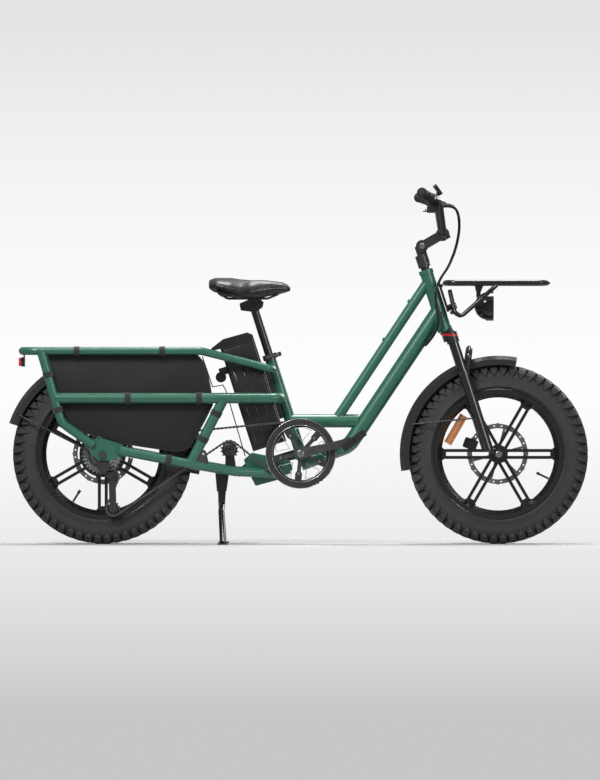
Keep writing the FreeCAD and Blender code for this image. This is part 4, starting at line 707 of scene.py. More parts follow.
@dataclass
class KnobbyTyre:
    """Fat tyre: a carcass with rows of crown, shoulder and side knobs."""

    name: str
    node: str
    body: str
    axle: Vector
    bead_r: float = 0.2085
    crown_r: float = 0.2815
    outer_r: float = 0.2876
    half: float = 0.0492
    ring_r: float = 0.2170
    knobs: int = 56
    knob_depth: float = 0.008
    tread_drop: float = 3.4
    steps: int = 144
    rows: tuple[KnobRow, ...] = (
        KnobRow(0.0, 0.016, 0.016, 0.5, 0.0), KnobRow(0.0175, 0.013, 0.019, 0.0, 14.0))
    shoulder_r: float = 0.26
    shoulder_outer: tuple[Point, ...] = (
        (0.2866, 0.026, 0.0105), (0.2795, 0.0405, 0.0120), (0.2680, 0.0490, 0.0085))
    shoulder_tip: Point = (0.2490, 0.0490, 0.0)
    shoulder_inner: tuple[Point, ...] = ((0.2700, 0.022, 0.0105), (0.2600, 0.036, 0.0120))
    shoulder_root: Point = (0.2490, 0.0430, 0.0)

    @property
    def pitch(self) -> float:
        """Angle from one knob to the next, in degrees."""
        return 360 / self.knobs

    def carcass_profile(self) -> list[tuple[float, float]]:
        """Closed section as (radius, y), with a moulded ring on each wall."""
        half = self.half - 0.0035
        side = [(self.bead_r, 0.0385), (self.bead_r + 0.004, 0.0412), (self.bead_r + 0.009, 0.0432)]
        ring = ((-0.0012, -0.0012), (0.0, 0.0006), (0.0012, -0.0006))
        side += [(self.ring_r + out, half + y) for out, y in ring]
        side += [(0.242, half), (0.254, half - 0.0015), (0.264, half - 0.0065), (0.272, half - 0.0140),
                 (0.278, half - 0.0240), (self.crown_r, half - 0.0360), (self.crown_r + 0.0008, 0.0)]
        return side + [(r, -y) for r, y in reversed(side[:-1])]

    def build(self, shop: Workshop, scatter: Scatter) -> None:
        """Make the tyre and let it stand for its CAD node."""
        rubber = shop["tyre_rubber"]
        shell = revolve(self.name + "_shell", self.carcass_profile(), self.axle, self.steps)
        parts = [shell]
        for row in self.rows:
            for side in ((1,) if row.y == 0 else (1, -1)):
                outline = [(-self.knob_depth, -row.length / 2), (0.0, -row.length / 2), (0.0, row.length / 2),
                           (-self.knob_depth, row.length / 2)]
                knob = prism("knob", outline, -row.width / 2, row.width / 2)
                skew = Matrix.Rotation(math.radians(row.skew * side), 3, "X")
                radius = self.outer_r - row.y ** 2 * self.tread_drop
                spots = [(place, turn @ skew) for place, turn in self.spots(radius, row.shift, side * row.y)]
                parts.append(scatter.place("row", knob, spots, rubber))
        parts += [self.shoulder(scatter, side, rubber) for side in (1, -1)]
        tyre = joined(self.name, parts)
        tyre.data.shade_flat()
        for polygon in tyre.data.polygons:
            polygon.use_smooth = polygon.index < len(self.carcass_profile()) * self.steps
        finish_piece(tyre, rubber, self.body, self.node)

    def spots(self, radius: float, shift: float, y: float = 0.0) -> list[Spot]:
        """One spot for each knob, shifted round by a share of the pitch."""
        angles = [(i + shift) * self.pitch for i in range(self.knobs)]
        return [(polar(self.axle, radius, angle, y), wheel_turn(angle)) for angle in angles]

    def shoulder(self, scatter: Scatter, side: int, rubber: Any) -> Any:
        """Row of triangular blocks that wrap the shoulder."""
        corners = self.shoulder_outer + self.shoulder_inner
        pairs = [[(x, y, z * way) for way in (-1, 1)] for x, y, z in corners]
        outer = pairs[0] + pairs[1] + pairs[2] + [self.shoulder_tip]
        verts = outer + pairs[3] + pairs[4] + [self.shoulder_root]
        verts = [(x - self.shoulder_r, y * side, z) for x, y, z in verts]
        faces = [(0, 1, 3, 2), (2, 3, 5, 4), (4, 5, 6), (0, 7, 8, 1), (7, 9, 10, 8), (9, 11, 10),
                 (0, 2, 9, 7), (2, 4, 6, 11, 9), (1, 8, 10, 3), (3, 10, 11, 6, 5)]
        piece = mesh_piece("shoulder", verts, faces, smooth=False)
        return scatter.place("shoulder_row", piece, self.spots(self.shoulder_r, 0.5), rubber)


# ---- chain and sprockets -------------------------------------------------------------------
CHAIN_PITCH = 0.0127


@dataclass
class Sprocket:
    """Chain wheel with its teeth."""

    centre: Vector
    teeth: int
    y: float
    way: int = 1

    @property
    def radius(self) -> float:
        """Pitch radius."""
        return CHAIN_PITCH / (2 * math.sin(math.pi / self.teeth))


BB = Vector((0.006, 0.0, 0.290))
CHAIN_Y = -0.074
RING = Sprocket(BB, 52, CHAIN_Y, -1)
IDLER = Sprocket(Vector((-0.221, 0.0, 0.302)), 14, CHAIN_Y, 1)
LOWER = Sprocket(Vector((-0.593, 0.0, 0.114)), 11, CHAIN_Y, -1)
UPPER = Sprocket(Vector((-0.597, 0.0, 0.216)), 11, CHAIN_Y, 1)
DRIVEN = Sprocket(REAR_AXLE, 22, CHAIN_Y, -1)


@dataclass
class Chain:
    """Roller chain round the ring, the idler, the two jockeys and the driven cog."""

    wheels: Sequence[Sprocket] = (RING, IDLER, LOWER, UPPER, DRIVEN)
    pitch: float = CHAIN_PITCH
    plate_half: float = 0.0041
    plate_thick: float = 0.0009
    plate_waist: float = 0.62
    outer_gap: float = 0.0030
    inner_gap: float = 0.0018
    roller_r: float = 0.0036
    rivet_r: float = 0.0017
    rivet_half: float = 0.0043
    bend_step: float = 0.02

    def tangent(self, one: Sprocket, two: Sprocket) -> tuple[Vector, Vector]:
        """Ends of the straight run from one wheel to the next."""
        gap = two.centre - one.centre
        unit = gap.normalized()
        across = Vector((-unit.z, 0.0, unit.x))
        share = (one.radius * one.way - two.radius * two.way) / gap.length
        normal = unit * share - across * math.sqrt(1 - share * share)
        return one.centre + normal * one.radius * one.way, two.centre + normal * two.radius * two.way

    def path(self) -> list[Vector]:
        """Dense closed line of the chain's pins."""
        runs = [self.tangent(w, self.wheels[(i + 1) % len(self.wheels)]) for i, w in enumerate(self.wheels)]
        line = []
        for i, wheel in enumerate(self.wheels):
            start = runs[i - 1][1] - wheel.centre
            end = runs[i][0] - wheel.centre
            a0 = math.atan2(start.z, start.x)
            sweep = (math.atan2(end.z, end.x) - a0) * wheel.way % (2 * math.pi)
            steps = max(4, int(sweep / self.bend_step))
            for k in range(steps + 1):
                turn = math.degrees(a0 + wheel.way * sweep * k / steps)
                line.append(polar(wheel.centre, wheel.radius, turn))
        return line

    def pins(self) -> list[Vector]:
        """Pin places, evenly spaced over a whole even number of links."""
        line = self.path()
        line.append(line[0])
        lengths = [0.0]
        for a, b in zip(line, line[1:]):
            lengths.append(lengths[-1] + (b - a).length)
        count = 2 * round(lengths[-1] / self.pitch / 2)
        places = []
        at = 0
        for k in range(count):
            goal = lengths[-1] * k / count
            while lengths[at + 1] < goal:
                at += 1
            share = (goal - lengths[at]) / max(1e-9, lengths[at + 1] - lengths[at])
            places.append(line[at].lerp(line[at + 1], share) + Vector((0, CHAIN_Y, 0)))
        return places

    def plate_outline(self) -> list[tuple[float, float]]:
        """Waisted side plate about its middle."""
        points = []
        for sign in (1, -1):
            for turn in (-80, -40, 0, 40, 80):
                a = math.radians(turn if sign > 0 else turn + 180)
                x, z = math.cos(a) * self.plate_half, math.sin(a) * self.plate_half
                points.append((sign * self.pitch / 2 + x, z))
            points.append((0.0, sign * self.plate_half * self.plate_waist))
        return points

    def build(self, shop: Workshop, scatter: Scatter) -> None:
        """Make the links and rollers, in place of the CAD chain."""
        pins = self.pins()
        metal = shop["chain_steel"]
        links, rollers = ([], []), []
        for i, pin in enumerate(pins):
            ahead = pins[(i + 1) % len(pins)]
            turn = wheel_turn(math.degrees(math.atan2(ahead.z - pin.z, ahead.x - pin.x)))
            links[i % 2].append(((pin + ahead) / 2, turn))
            rollers.append((pin, turn))
        parts = []
        for spots, gap in zip(links, (self.outer_gap, self.inner_gap)):
            for side in (1, -1):
                link = prism("link", self.plate_outline(), side * gap, side * (gap + self.plate_thick))
                parts.append(scatter.place("links", link, spots, metal))
        for name, outline, half in (("roller", circle(self.roller_r, 10), self.inner_gap),
                                    ("rivet", circle(self.rivet_r, 6), self.rivet_half)):
            parts.append(scatter.place(name, prism(name, outline, -half, half), rollers, metal))
        chain = joined("drive_chain", parts)
        chain.data.shade_flat()
        finish_piece(chain, metal, "frame", "chain")
        LOG.info("chain of %d links", len(pins))


@dataclass
class ToothedRing:
    """Teeth and pressed plate of one chain wheel."""

    name: str
    wheel: Sprocket
    inner_r: float
    thick: float = 0.0019
    root_depth: float = 0.0038
    tooth: Outline = ((-0.0015, 0.0036), (0.0022, 0.0024), (0.0056, 0.0007))
    tooth_share: float = 0.42

    def build(self, shop: Workshop, scatter: Scatter, finish: str) -> Any:
        """Make the plate and its teeth as one piece that rides on nothing yet."""
        wheel = self.wheel
        root = wheel.radius - self.root_depth
        y0, y1 = wheel.y - self.thick / 2, wheel.y + self.thick / 2
        section = [(self.inner_r, y0), (self.inner_r, y1), (root, y1), (root, y0)]
        plate = revolve(self.name + "_plate", section, wheel.centre, max(32, wheel.teeth * 2), smooth=False)
        outline = [(x, -z) for x, z in self.tooth] + list(reversed(self.tooth))
        tooth = prism("tooth", outline, -self.thick * self.tooth_share, self.thick * self.tooth_share)
        angles = [360 * (i + 0.5) / wheel.teeth for i in range(wheel.teeth)]
        spots = [(polar(wheel.centre, root, angle, wheel.y), wheel_turn(angle)) for angle in angles]
        return joined(self.name, [plate, scatter.place("teeth", tooth, spots, shop[finish])])


@dataclass
class Drivetrain:
    """Chain, chain ring, cassette, idler and jockeys."""

    ring_width: float = 0.020
    cog_teeth: tuple[int, ...] = (32, 28, 24, 22, 18, 15, 13)
    cog_pitch: float = 0.005
    cog_inner_r: float = 0.0215
    core_r: float = 0.0150
    pulley_thick: float = 0.0032
    pulley_bore_r: float = 0.0050
    hub_profile: Outline = ((0.0048, -0.0034), (0.0048, 0.0034), (0.0095, 0.0034), (0.0105, 0.0),
                            (0.0095, -0.0034))

    def build(self, shop: Workshop, scatter: Scatter) -> None:
        """Make every toothed piece."""
        Chain().build(shop, scatter)
        ring = ToothedRing("ring_52", RING, RING.radius - self.ring_width).build(shop, scatter, "dark_steel")
        finish_piece(ring, shop["dark_steel"], "crank", "chain_ring")
        self.cassette(shop, scatter)
        for name, node, body, wheel in (("idler_teeth", "idler_wheel", "idler", IDLER),
                                        ("upper_teeth", "upper_jockey", "jockey_top", UPPER),
                                        ("lower_teeth", "lower_jockey", "jockey_low", LOWER)):
            teeth = ToothedRing(name, wheel, self.pulley_bore_r, self.pulley_thick)
            profile = [(r, wheel.y + y) for r, y in self.hub_profile]
            hub = revolve("hub", profile, wheel.centre, 32)
            pulley = joined(name, [teeth.build(shop, scatter, "black_plastic"), hub])
            finish_piece(pulley, shop["black_plastic"], body, node)

    def cassette(self, shop: Workshop, scatter: Scatter) -> None:
        """Make the cogs on their core, the fourth one in line with the chain."""
        cogs = []
        for i, teeth in enumerate(self.cog_teeth):
            wheel = Sprocket(REAR_AXLE, teeth, CHAIN_Y + (3 - i) * self.cog_pitch)
            cog = ToothedRing(f"cog_{teeth}", wheel, self.cog_inner_r)
            cogs.append(cog.build(shop, scatter, "steel"))
        low, high = CHAIN_Y - 3 * self.cog_pitch - 0.002, CHAIN_Y + 3 * self.cog_pitch + 0.001
        outer = self.cog_inner_r + 0.0001
        core = [(self.core_r, low), (self.core_r, high), (outer, high), (outer, low)]
        cogs.append(revolve("cog_core", core, REAR_AXLE, 48))
        finish_piece(joined("cassette_cogs", cogs), shop["steel"], "cog_set", "cassette")


# ---- saddle --------------------------------------------------------------------------------
@dataclass
class Saddle:
    """Padded saddle: crowned top with a dipped nose, a side seam and a lower skirt."""

    stations: int = 40
    around: int = 36
    voxel: float = 0.0045
    cap: float = 0.006
    pressure: float = 3.0
    stiffness: float = 30.0
    settle_frames: int = 12
    seam_share: float = 0.38
    groove_depth: float = 0.0035
    groove_half: float = 0.014
    piping_r: float = 0.0013
    rows: tuple[tuple[float, float, float, float], ...] = (
        (-0.2905, 0.066, 0.836, 0.820), (-0.284, 0.094, 0.847, 0.814), (-0.262, 0.112, 0.8515, 0.811),
        (-0.225, 0.114, 0.8480, 0.799), (-0.185, 0.096, 0.8420, 0.787), (-0.150, 0.068, 0.8400, 0.788),
        (-0.115, 0.048, 0.8410, 0.795), (-0.085, 0.037, 0.8415, 0.802), (-0.055, 0.030, 0.8390, 0.806),
        (-0.035, 0.024, 0.8320, 0.8090), (-0.0240, 0.014, 0.8220, 0.8130))

    def section(self, x: float) -> tuple[float, float, float]:
        """Half width, top and bottom at a station."""
        for one, two in zip(self.rows, self.rows[1:]):
            if x <= two[0]:
                share = max(0.0, (x - one[0]) / (two[0] - one[0]))
                share = share * share * (3 - 2 * share) * 0.35 + share * 0.65
                return tuple(one[k] + (two[k] - one[k]) * share for k in (1, 2, 3))
        return self.rows[-1][1:]

    def ring(self, x: float) -> list[Point]:
        """Closed section at a station, with a shallow groove along the middle of the top."""
        half, top, low = self.section(x)
        middle = low + (top - low) * self.seam_share
        points = []
        for k in range(self.around):
            c, s = math.cos(math.tau * k / self.around), math.sin(math.tau * k / self.around)
            y = half * math.copysign(abs(c) ** 0.75, c)
            if s > 0:
                fade = max(0.0, min(1.0, (x + 0.27) * 12)) * (x < -0.06)
                groove = self.groove_depth * math.exp(-(y / self.groove_half) ** 2) * fade
                points.append((x, y, middle + (top - middle) * abs(s) ** 0.9 - groove))
            else:
                points.append((x, y, middle - (middle - low) * abs(s) ** 0.6))
        return points

    def build(self, shop: Workshop) -> None:
        """Make the pad, blow it up gently and add the seam."""
        verts, faces = [], []
        x0, x1 = self.rows[0][0], self.rows[-1][0]
        for i in range(self.stations + 1):
            verts += self.ring(x0 + (x1 - x0) * (0.5 - 0.5 * math.cos(math.pi * i / self.stations)))
        for i in range(self.stations):
            for k in range(self.around):
                a, b = i * self.around + k, i * self.around + (k + 1) % self.around
                faces.append((a, b, b + self.around, a + self.around))
        faces.append(tuple(range(self.around)))
        faces.append(tuple(self.stations * self.around + k for k in range(self.around)))
        pad = mesh_piece("saddle_pad", verts, faces)
        self.inflate(pad)
        finish_piece(pad, shop["saddle_skin"], "seat", "saddle")
        self.seam(shop)

    def inflate(self, pad: Any) -> None:
        """Blow the pad up with cloth pressure and keep each point near its start."""
        remesh = pad.modifiers.new("remesh", "REMESH")
        remesh.mode = "VOXEL"
        remesh.voxel_size = self.voxel
        self.apply(pad)
        start = [v.co.copy() for v in pad.data.vertices]
        cloth = pad.modifiers.new("cloth", "CLOTH")
        cloth.settings.use_pressure = True
        cloth.settings.uniform_pressure_force = self.pressure
        cloth.settings.tension_stiffness = self.stiffness
        cloth.settings.effector_weights.gravity = 0
        scene = bpy.context.scene
        for step in range(1, self.settle_frames + 1):
            scene.frame_set(step)
        self.apply(pad)
        scene.frame_set(1)
        box_low, box_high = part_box("saddle")
        for vertex, origin in zip(pad.data.vertices, start):
            shift = vertex.co - origin
            if shift.length > self.cap:
                shift *= self.cap / shift.length
            place = origin + shift
            x, y = (min(max(place[i], box_low[i]), box_high[i]) for i in (0, 1))
            vertex.co = (x, y, min(place.z, box_high.z))
        pad.data.shade_smooth()

    @staticmethod
    def apply(pad: Any) -> None:
        """Bake the modifiers into the mesh."""
        mesh = baked(pad)
        pad.modifiers.clear()
        pad.data = mesh

    def seam(self, shop: Workshop) -> None:
        """Piping round the widest line of the pad."""
        line = []
        for side in (1, -1):
            stations = range(1, self.stations)
            for i in stations if side > 0 else reversed(stations):
                x = self.rows[0][0] + (self.rows[-1][0] - self.rows[0][0]) * i / self.stations
                half, top, low = self.section(x)
                line.append((x, side * (half - 0.0002), low + (top - low) * self.seam_share))
        line.append(line[0])
        piping = tube("saddle_piping", line, self.piping_r, 8, smooth_line=False)
        finish_piece(piping, shop["gloss_plastic"], "seat")


# ---- cockpit -------------------------------------------------------------------------------
GRIP_OUT = Vector((0.389, -0.326, 1.118))
GRIP_ALONG = (Vector((0.447, -0.118, 1.091)) - GRIP_OUT).normalized()


@dataclass
class Grips:
    """Ribbed rubber grips with end flanges."""

    length: float = 0.128
    radius: float = 0.0165
    bore_r: float = 0.0128
    ribs: int = 19
    rib_start: float = 0.009
    rib: Outline = ((0.0030, 0.0), (0.0016, 0.2), (0.0016, 0.65), (0.0030, 0.85))

    def profile(self) -> list[tuple[float, float]]:
        """Closed section as (radius, distance from the bar's end)."""
        step = (self.length - 2 * self.rib_start) / self.ribs
        ends = [(0.0, 0.0), (self.radius - 0.002, 0.0), (self.radius - 0.0003, 0.0012),
                (self.radius - 0.0003, 0.0055), (self.radius - 0.0022, 0.007)]
        ribs = [(self.radius - drop, self.rib_start + (i + share) * step)
                for i in range(self.ribs) for drop, share in self.rib]
        flange = [(self.radius - 0.0025, self.length - 0.007), (self.radius - 0.0004, self.length - 0.006),
                  (self.radius - 0.0004, self.length - 0.0005), (self.radius - 0.0020, self.length),
                  (self.bore_r, self.length), (self.bore_r, 0.003), (0.0, 0.003)]
        return ends + ribs + flange

    def build(self, shop: Workshop) -> None:
        """Make both grips as one piece."""
        grips = []
        for side in Side:
            mirror = Vector((1.0, -side.value, 1.0))
            grips.append(revolve("grip", self.profile(), GRIP_OUT * mirror, 40, axis=GRIP_ALONG * mirror))
        finish_piece(joined("bar_grips", grips), shop["grip_rubber"], "bar", "grips")


CABLE_RISE = [(0.452, -0.150, 1.082), (0.478, -0.104, 1.088), (0.508, -0.052, 1.072), (0.516, -0.024, 1.018),
              (0.506, -0.012, 0.958), (0.494, -0.008, 0.924)]
CABLE_FALL = [(0.494, -0.008, 0.924), (0.482, -0.004, 0.890), (0.452, -0.036, 0.850), (0.436, -0.044, 0.806),
              (0.440, -0.044, 0.756), (0.450, -0.042, 0.706), (0.428, -0.040, 0.660), (0.404, -0.028, 0.634)]


@dataclass
class Cables:
    """Control cables from the bar to the down tube, in two bundles that meet at the stem."""

    strand_r: float = 0.0022
    right_shifts: tuple[Point, ...] = ((0.0, 0.0, 0.0026), (0.0026, 0.0, -0.0010), (-0.0022, 0.0022, -0.0014),
                                       (-0.0016, -0.0026, -0.0008))
    left_shifts: tuple[Point, ...] = ((0.0, 0.0, 0.002), (0.003, 0.001, -0.002))
    fall_shifts: tuple[Point, ...] = ((0.0028, 0.0, 0.0), (-0.0020, 0.0024, 0.0), (-0.0022, -0.0024, 0.0),
                                      (0.0012, 0.0040, 0.0))
    stem_ends: tuple[Point, Point] = ((0.500, 0.0, 1.080), (0.494, 0.0, 0.930))
    head_ends: tuple[Point, Point] = ((0.482, 0.0, 0.890), (0.430, 0.0, 0.670))

    def strands(self, line: Sequence[Point], shifts: Sequence[Point]) -> list[Any]:
        """Jacketed strands, each shifted from the bundle's middle line."""
        lines = [[tuple(a + b for a, b in zip(point, shift)) for point in line] for shift in shifts]
        return [tube("strand", route, self.strand_r, 12) for route in lines]

    def build(self, shop: Workshop) -> None:
        """Make both bundles in place of the CAD cables."""
        left = [(x, -y, z) for x, y, z in CABLE_RISE[:4]] + [(0.506, 0.002, 0.958), (0.494, -0.002, 0.924)]
        rise = self.strands(CABLE_RISE, self.right_shifts) + self.strands(left, self.left_shifts)
        upper = joined("bar_cable_bundle", rise)
        lower = joined("frame_cable_bundle", self.strands(CABLE_FALL, self.fall_shifts))
        for piece, node in ((upper, "bar_cables"), (lower, "cable_loom")):
            piece.data.materials.clear()
            piece.data.materials.append(shop["cable_jacket"])
            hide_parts(node)
        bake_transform(upper)
        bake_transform(lower)


# ---- panels and trim -----------------------------------------------------------------------
SEAT_LEAN = math.radians(90 - 72.3)
PANEL_OUTLINE = (
    (-0.800, 0.6055), (-0.326, 0.6055), (-0.309, 0.586), (-0.294, 0.545), (-0.284, 0.500), (-0.2775, 0.446),
    (-0.300, 0.400), (-0.326, 0.352), (-0.348, 0.309), (-0.370, 0.300), (-0.394, 0.297), (-0.500, 0.3125),
    (-0.606, 0.330), (-0.680, 0.356), (-0.720, 0.373), (-0.748, 0.398), (-0.758, 0.430), (-0.774, 0.510))


def seat_place(ahead: float, y: float, up: float) -> Vector:
    """Point in the frame of the seat tube, from the crank centre."""
    along = Vector((-math.sin(SEAT_LEAN), 0.0, math.cos(SEAT_LEAN)))
    fore = Vector((along.z, 0.0, -along.x))
    return BB + along * up + fore * ahead + Vector((0.0, y, 0.0))


def side_turn(side: Side) -> Matrix:
    """Turn that points a screw head's top out of the right or left side."""
    return Matrix.Identity(3) if side is Side.RIGHT else Matrix.Rotation(math.pi, 3, "Z")


def both_sides(x: float, y: float, z: float) -> list[Spot]:
    """Spots at a distance from the middle plane on the right and on the left, facing out."""
    return [(Vector((x, side.value * y, z)), side_turn(side)) for side in Side]


def socket_head(radius: float, height: float) -> Any:
    """Cap screw head about the origin, its hexagon recess facing -Y."""
    rows = [(radius, 0.0, 12), (radius, -height * 0.75, 12), (radius * 0.86, -height, 12),
            (radius * 0.5, -height, 6), (radius * 0.5, -height * 0.35, 6)]
    verts = [(x, y, z) for r, y, count in rows for x, z in circle(r, count)]
    faces = [tuple(range(12)), tuple(range(42, 48))]
    for low in (0, 12):
        faces += [(low + k, low + (k + 1) % 12, low + 12 + (k + 1) % 12, low + 12 + k) for k in range(12)]
    for k in range(6):
        a, b = 36 + k, 36 + (k + 1) % 6
        rim, middle, after = 24 + 2 * k, 24 + 2 * k + 1, 24 + (2 * k + 2) % 12
        faces += [(rim, middle, a), (middle, b, a), (middle, after, b), (a, b, b + 6, a + 6)]
    return mesh_piece("socket_head", verts, faces, smooth=False)


@dataclass
class CargoPanels:
    """Stiff side panels with a bound edge and a line of stitches along it."""

    y: float = 0.0810
    thick: float = 0.0030
    edge_round: float = 0.0008
    binding_r: float = 0.0024
    stitch_step: float = 0.0075
    stitch_inset: float = 0.008
    stitch_half: tuple[float, float] = (0.0021, 0.0005)
    size_spread: float = 0.15
    seed: int = 11

    def stitches(self, side: Side) -> list[Spot]:
        """Spots of the stitches on one panel."""
        face = side.value * (self.y + self.thick)
        corners = [Vector((x, face, z)) for x, z in PANEL_OUTLINE]
        spots = []
        for one, two in zip(corners, corners[1:] + corners[:1]):
            run = two - one
            inward = Vector((run.z, 0.0, -run.x)).normalized() * self.stitch_inset
            turn = wheel_turn(math.degrees(math.atan2(run.z, run.x)))
            count = int(run.length / self.stitch_step)
            spots += [(one + run * ((k + 0.5) / count) + inward, turn) for k in range(count)]
        return spots

    def build(self, shop: Workshop, scatter: Scatter) -> None:
        """Make both panels in place of the CAD sheets."""
        sheets, binding, spots = [], [], []
        for side in Side:
            sheet = prism("sheet", PANEL_OUTLINE, side.value * self.y, side.value * (self.y + self.thick))
            sheets.append(bevelled(sheet, self.edge_round, 2))
            edge = [(x, side.value * (self.y + self.thick * 0.5), z) for x, z in PANEL_OUTLINE]
            binding.append(tube("binding", edge + [edge[0]], self.binding_r, 8, smooth_line=False))
            spots += self.stitches(side)
        finish_piece(joined("cargo_panels", sheets), shop["panel_sheet"], "frame", "side_panels")
        finish_piece(joined("panel_binding", binding), shop["strap_web"], "frame")
        long, thin = self.stitch_half
        stitch = prism("stitch", [(-long, -thin), (long, -thin), (long, thin), (-long, thin)], -thin, thin)
        thread = shop["thread"]
        stitches = scatter.place("panel_stitches", stitch, spots, thread, self.size_spread, self.seed)
        finish_piece(stitches, thread, "frame")


@dataclass
class BatteryTrim:
    """Raised side plates, ribs and screws of the battery case."""

    case_y: float = 0.0425
    plate_y: float = 0.0444
    rib_y: float = 0.0454
    plate_edge: float = 0.0009
    rib_edge: float = 0.0006
    plate_ahead: tuple[float, float] = (-0.134, -0.040)
    plate_up: tuple[tuple[float, float], ...] = ((0.066, 0.330), (0.340, 0.388))
    rib_ahead: float = -0.126
    rib_up: tuple[float, float] = (0.075, 0.318)
    rib_wide: float = 0.006
    rib_step: float = 0.030
    ribs: int = 3
    screw_ahead: tuple[float, float] = (-0.130, -0.044)
    screw_up: tuple[float, float] = (0.070, 0.326)

    @staticmethod
    def slab(ahead: tuple[float, float], up: tuple[float, float], y0: float, y1: float, edge: float,
             segments: int) -> Any:
        """Plate between two corners along the seat tube, with bevelled edges."""
        corners = [seat_place(a, 0, u) for a, u in ((ahead[0], up[0]), (ahead[1], up[0]),
                                                    (ahead[1], up[1]), (ahead[0], up[1]))]
        return bevelled(prism("slab", [(c.x, c.z) for c in corners], y0, y1), edge, segments)

    def build(self, shop: Workshop, scatter: Scatter) -> None:
        """Make the trim on both sides of the case."""
        plates, ribs = [], []
        for side in Side:
            y0, y1, y2 = (side.value * y for y in (self.case_y, self.plate_y, self.rib_y))
            plates += [self.slab(self.plate_ahead, up, y0, y1, self.plate_edge, 2) for up in self.plate_up]
            for k in range(self.ribs):
                start = self.rib_ahead + k * self.rib_step
                ribs.append(self.slab((start, start + self.rib_wide), self.rib_up, y1, y2, self.rib_edge, 1))
        finish_piece(joined("battery_plates", plates), shop["battery_shell"], "battery_pack")
        finish_piece(joined("battery_ribs", ribs), shop["gloss_plastic"], "battery_pack")
        spots = []
        for ahead in self.screw_ahead:
            for up in self.screw_up:
                place = seat_place(ahead, 0, up)
                spots += both_sides(place.x, self.plate_y - 0.0002, place.z)
        screws = scatter.place("battery_screws", socket_head(0.0034, 0.0016), spots, shop["dark_steel"])
        finish_piece(screws, shop["dark_steel"], "battery_pack")


@dataclass(frozen=True)
class Screws:
    """Group of screw heads of one size that ride on one body."""

    name: str
    body: str
    radius: float
    height: float
    spots: list[Spot]


@dataclass
class Fasteners:
    """Screw heads on the wheels, stem and cranks."""

    rotor_r: float = 0.0220
    rotor_y: float = 0.0538
    hub_r: float = 0.0620
    hub_y: float = -0.0442
    guard_r: float = 0.065
    guard_y: float = -0.0888
    guard_first: float = 48.5
    crank_y: float = 0.1040
    pivot: Vector = field(default_factory=lambda: Vector((0.3953, 0.0240, 0.9540)))
    pin_r: float = 0.0086
    pin_half: float = 0.0242
    axle_y: float = 0.1010
    clamp_y: float = 0.0195
    clamp_spots: tuple[tuple[float, float], ...] = ((0.4030, 0.9180), (0.4090, 0.8990))

    @staticmethod
    def ring(centre: Vector, radius: float, count: int, y: float, first: float, side: Side) -> list[Spot]:
        """Spots of a bolt circle."""
        return [(polar(centre, radius, first + 360 * k / count, y), side_turn(side)) for k in range(count)]

    def groups(self) -> list[Screws]:
        """Every group of screws with its spots."""
        hub = self.ring(REAR_AXLE, self.hub_r, 12, self.hub_y, 15, Side.RIGHT)
        guard = self.ring(BB, self.guard_r, 5, self.guard_y, self.guard_first, Side.RIGHT)
        clamp = [spot for x, z in self.clamp_spots for spot in both_sides(x, self.clamp_y, z)]
        rotors = [Screws(f"{end}_rotor_screws", f"{end}_wheel", 0.0040, 0.0022,
                         self.ring(axle, self.rotor_r, 6, self.rotor_y, 0, Side.LEFT))
                  for end, axle in (("front", FRONT_AXLE), ("rear", REAR_AXLE))]
        return rotors + [
            Screws("hub_screws", "rear_wheel", 0.0032, 0.0016, hub),
            Screws("guard_screws", "crank", 0.0052, 0.0022, guard),
            Screws("crank_cap", "crank", 0.0110, 0.0030, both_sides(BB.x, self.crank_y, BB.z)),
            Screws("stem_pivot_screws", "bar", 0.0092, 0.0040, both_sides(*self.pivot)),
            Screws("stem_side_screws", "steerer", 0.0042, 0.0026, clamp),
            Screws("front_axle_caps", "fork_lower", 0.0105, 0.0030,
                   both_sides(FRONT_AXLE.x, self.axle_y, FRONT_AXLE.z))]

    def build(self, shop: Workshop, scatter: Scatter) -> None:
        """Place every group of screws and the stem's pin."""
        for group in self.groups():
            head = socket_head(group.radius, group.height)
            heads = scatter.place(group.name, head, group.spots, shop["steel"])
            finish_piece(heads, shop["steel"], group.body)
        half = self.pin_half
        section = [(0.0, -half), (self.pin_r, -half), (self.pin_r, half), (0.0, half)]
        middle = Vector((self.pivot.x, 0.0, self.pivot.z))
        finish_piece(revolve("stem_pivot_pin", section, middle, 32), shop["dark_steel"], "bar")


@dataclass
class GuardTrim:
    """Bright machined edges of the chain guard and its openings."""

    ring_r: tuple[float, float] = (0.1108, 0.0912)
    ring_y: tuple[float, float] = (-0.0872, -0.0876)
    ring_half: float = 0.0006
    opening_y: float = -0.0788
    opening_r: float = 0.0011
    openings: int = 5
    first: float = 62.5
    side: Outline = ((0.0820, 20), (0.0640, 14), (0.0430, 4))

    def build(self, shop: Workshop) -> None:
        """Make the rings and the rounded openings' edges."""
        edges = []
        y0, y1 = self.ring_y
        for radius in self.ring_r:
            low, high = radius - self.ring_half, radius + self.ring_half
            edges.append(revolve("edge", [(low, y0), (high, y0), (high, y1), (low, y1)], BB, 120))
        falling = [(r, 22 + turn) for r, turn in self.side]
        rising = [(r, 22 - turn) for r, turn in reversed(self.side)]
        outline = [(0.0820, 2), (0.0860, 22), *falling, (0.0360, 22), *rising]
        for k in range(self.openings):
            start = self.first + 360 * k / self.openings
            line = [polar(BB, radius, start + turn, self.opening_y) for radius, turn in outline]
            edges.append(tube("opening", line, self.opening_r, 8))
        finish_piece(joined("guard_edges", edges), shop["bright_steel"], "crank")


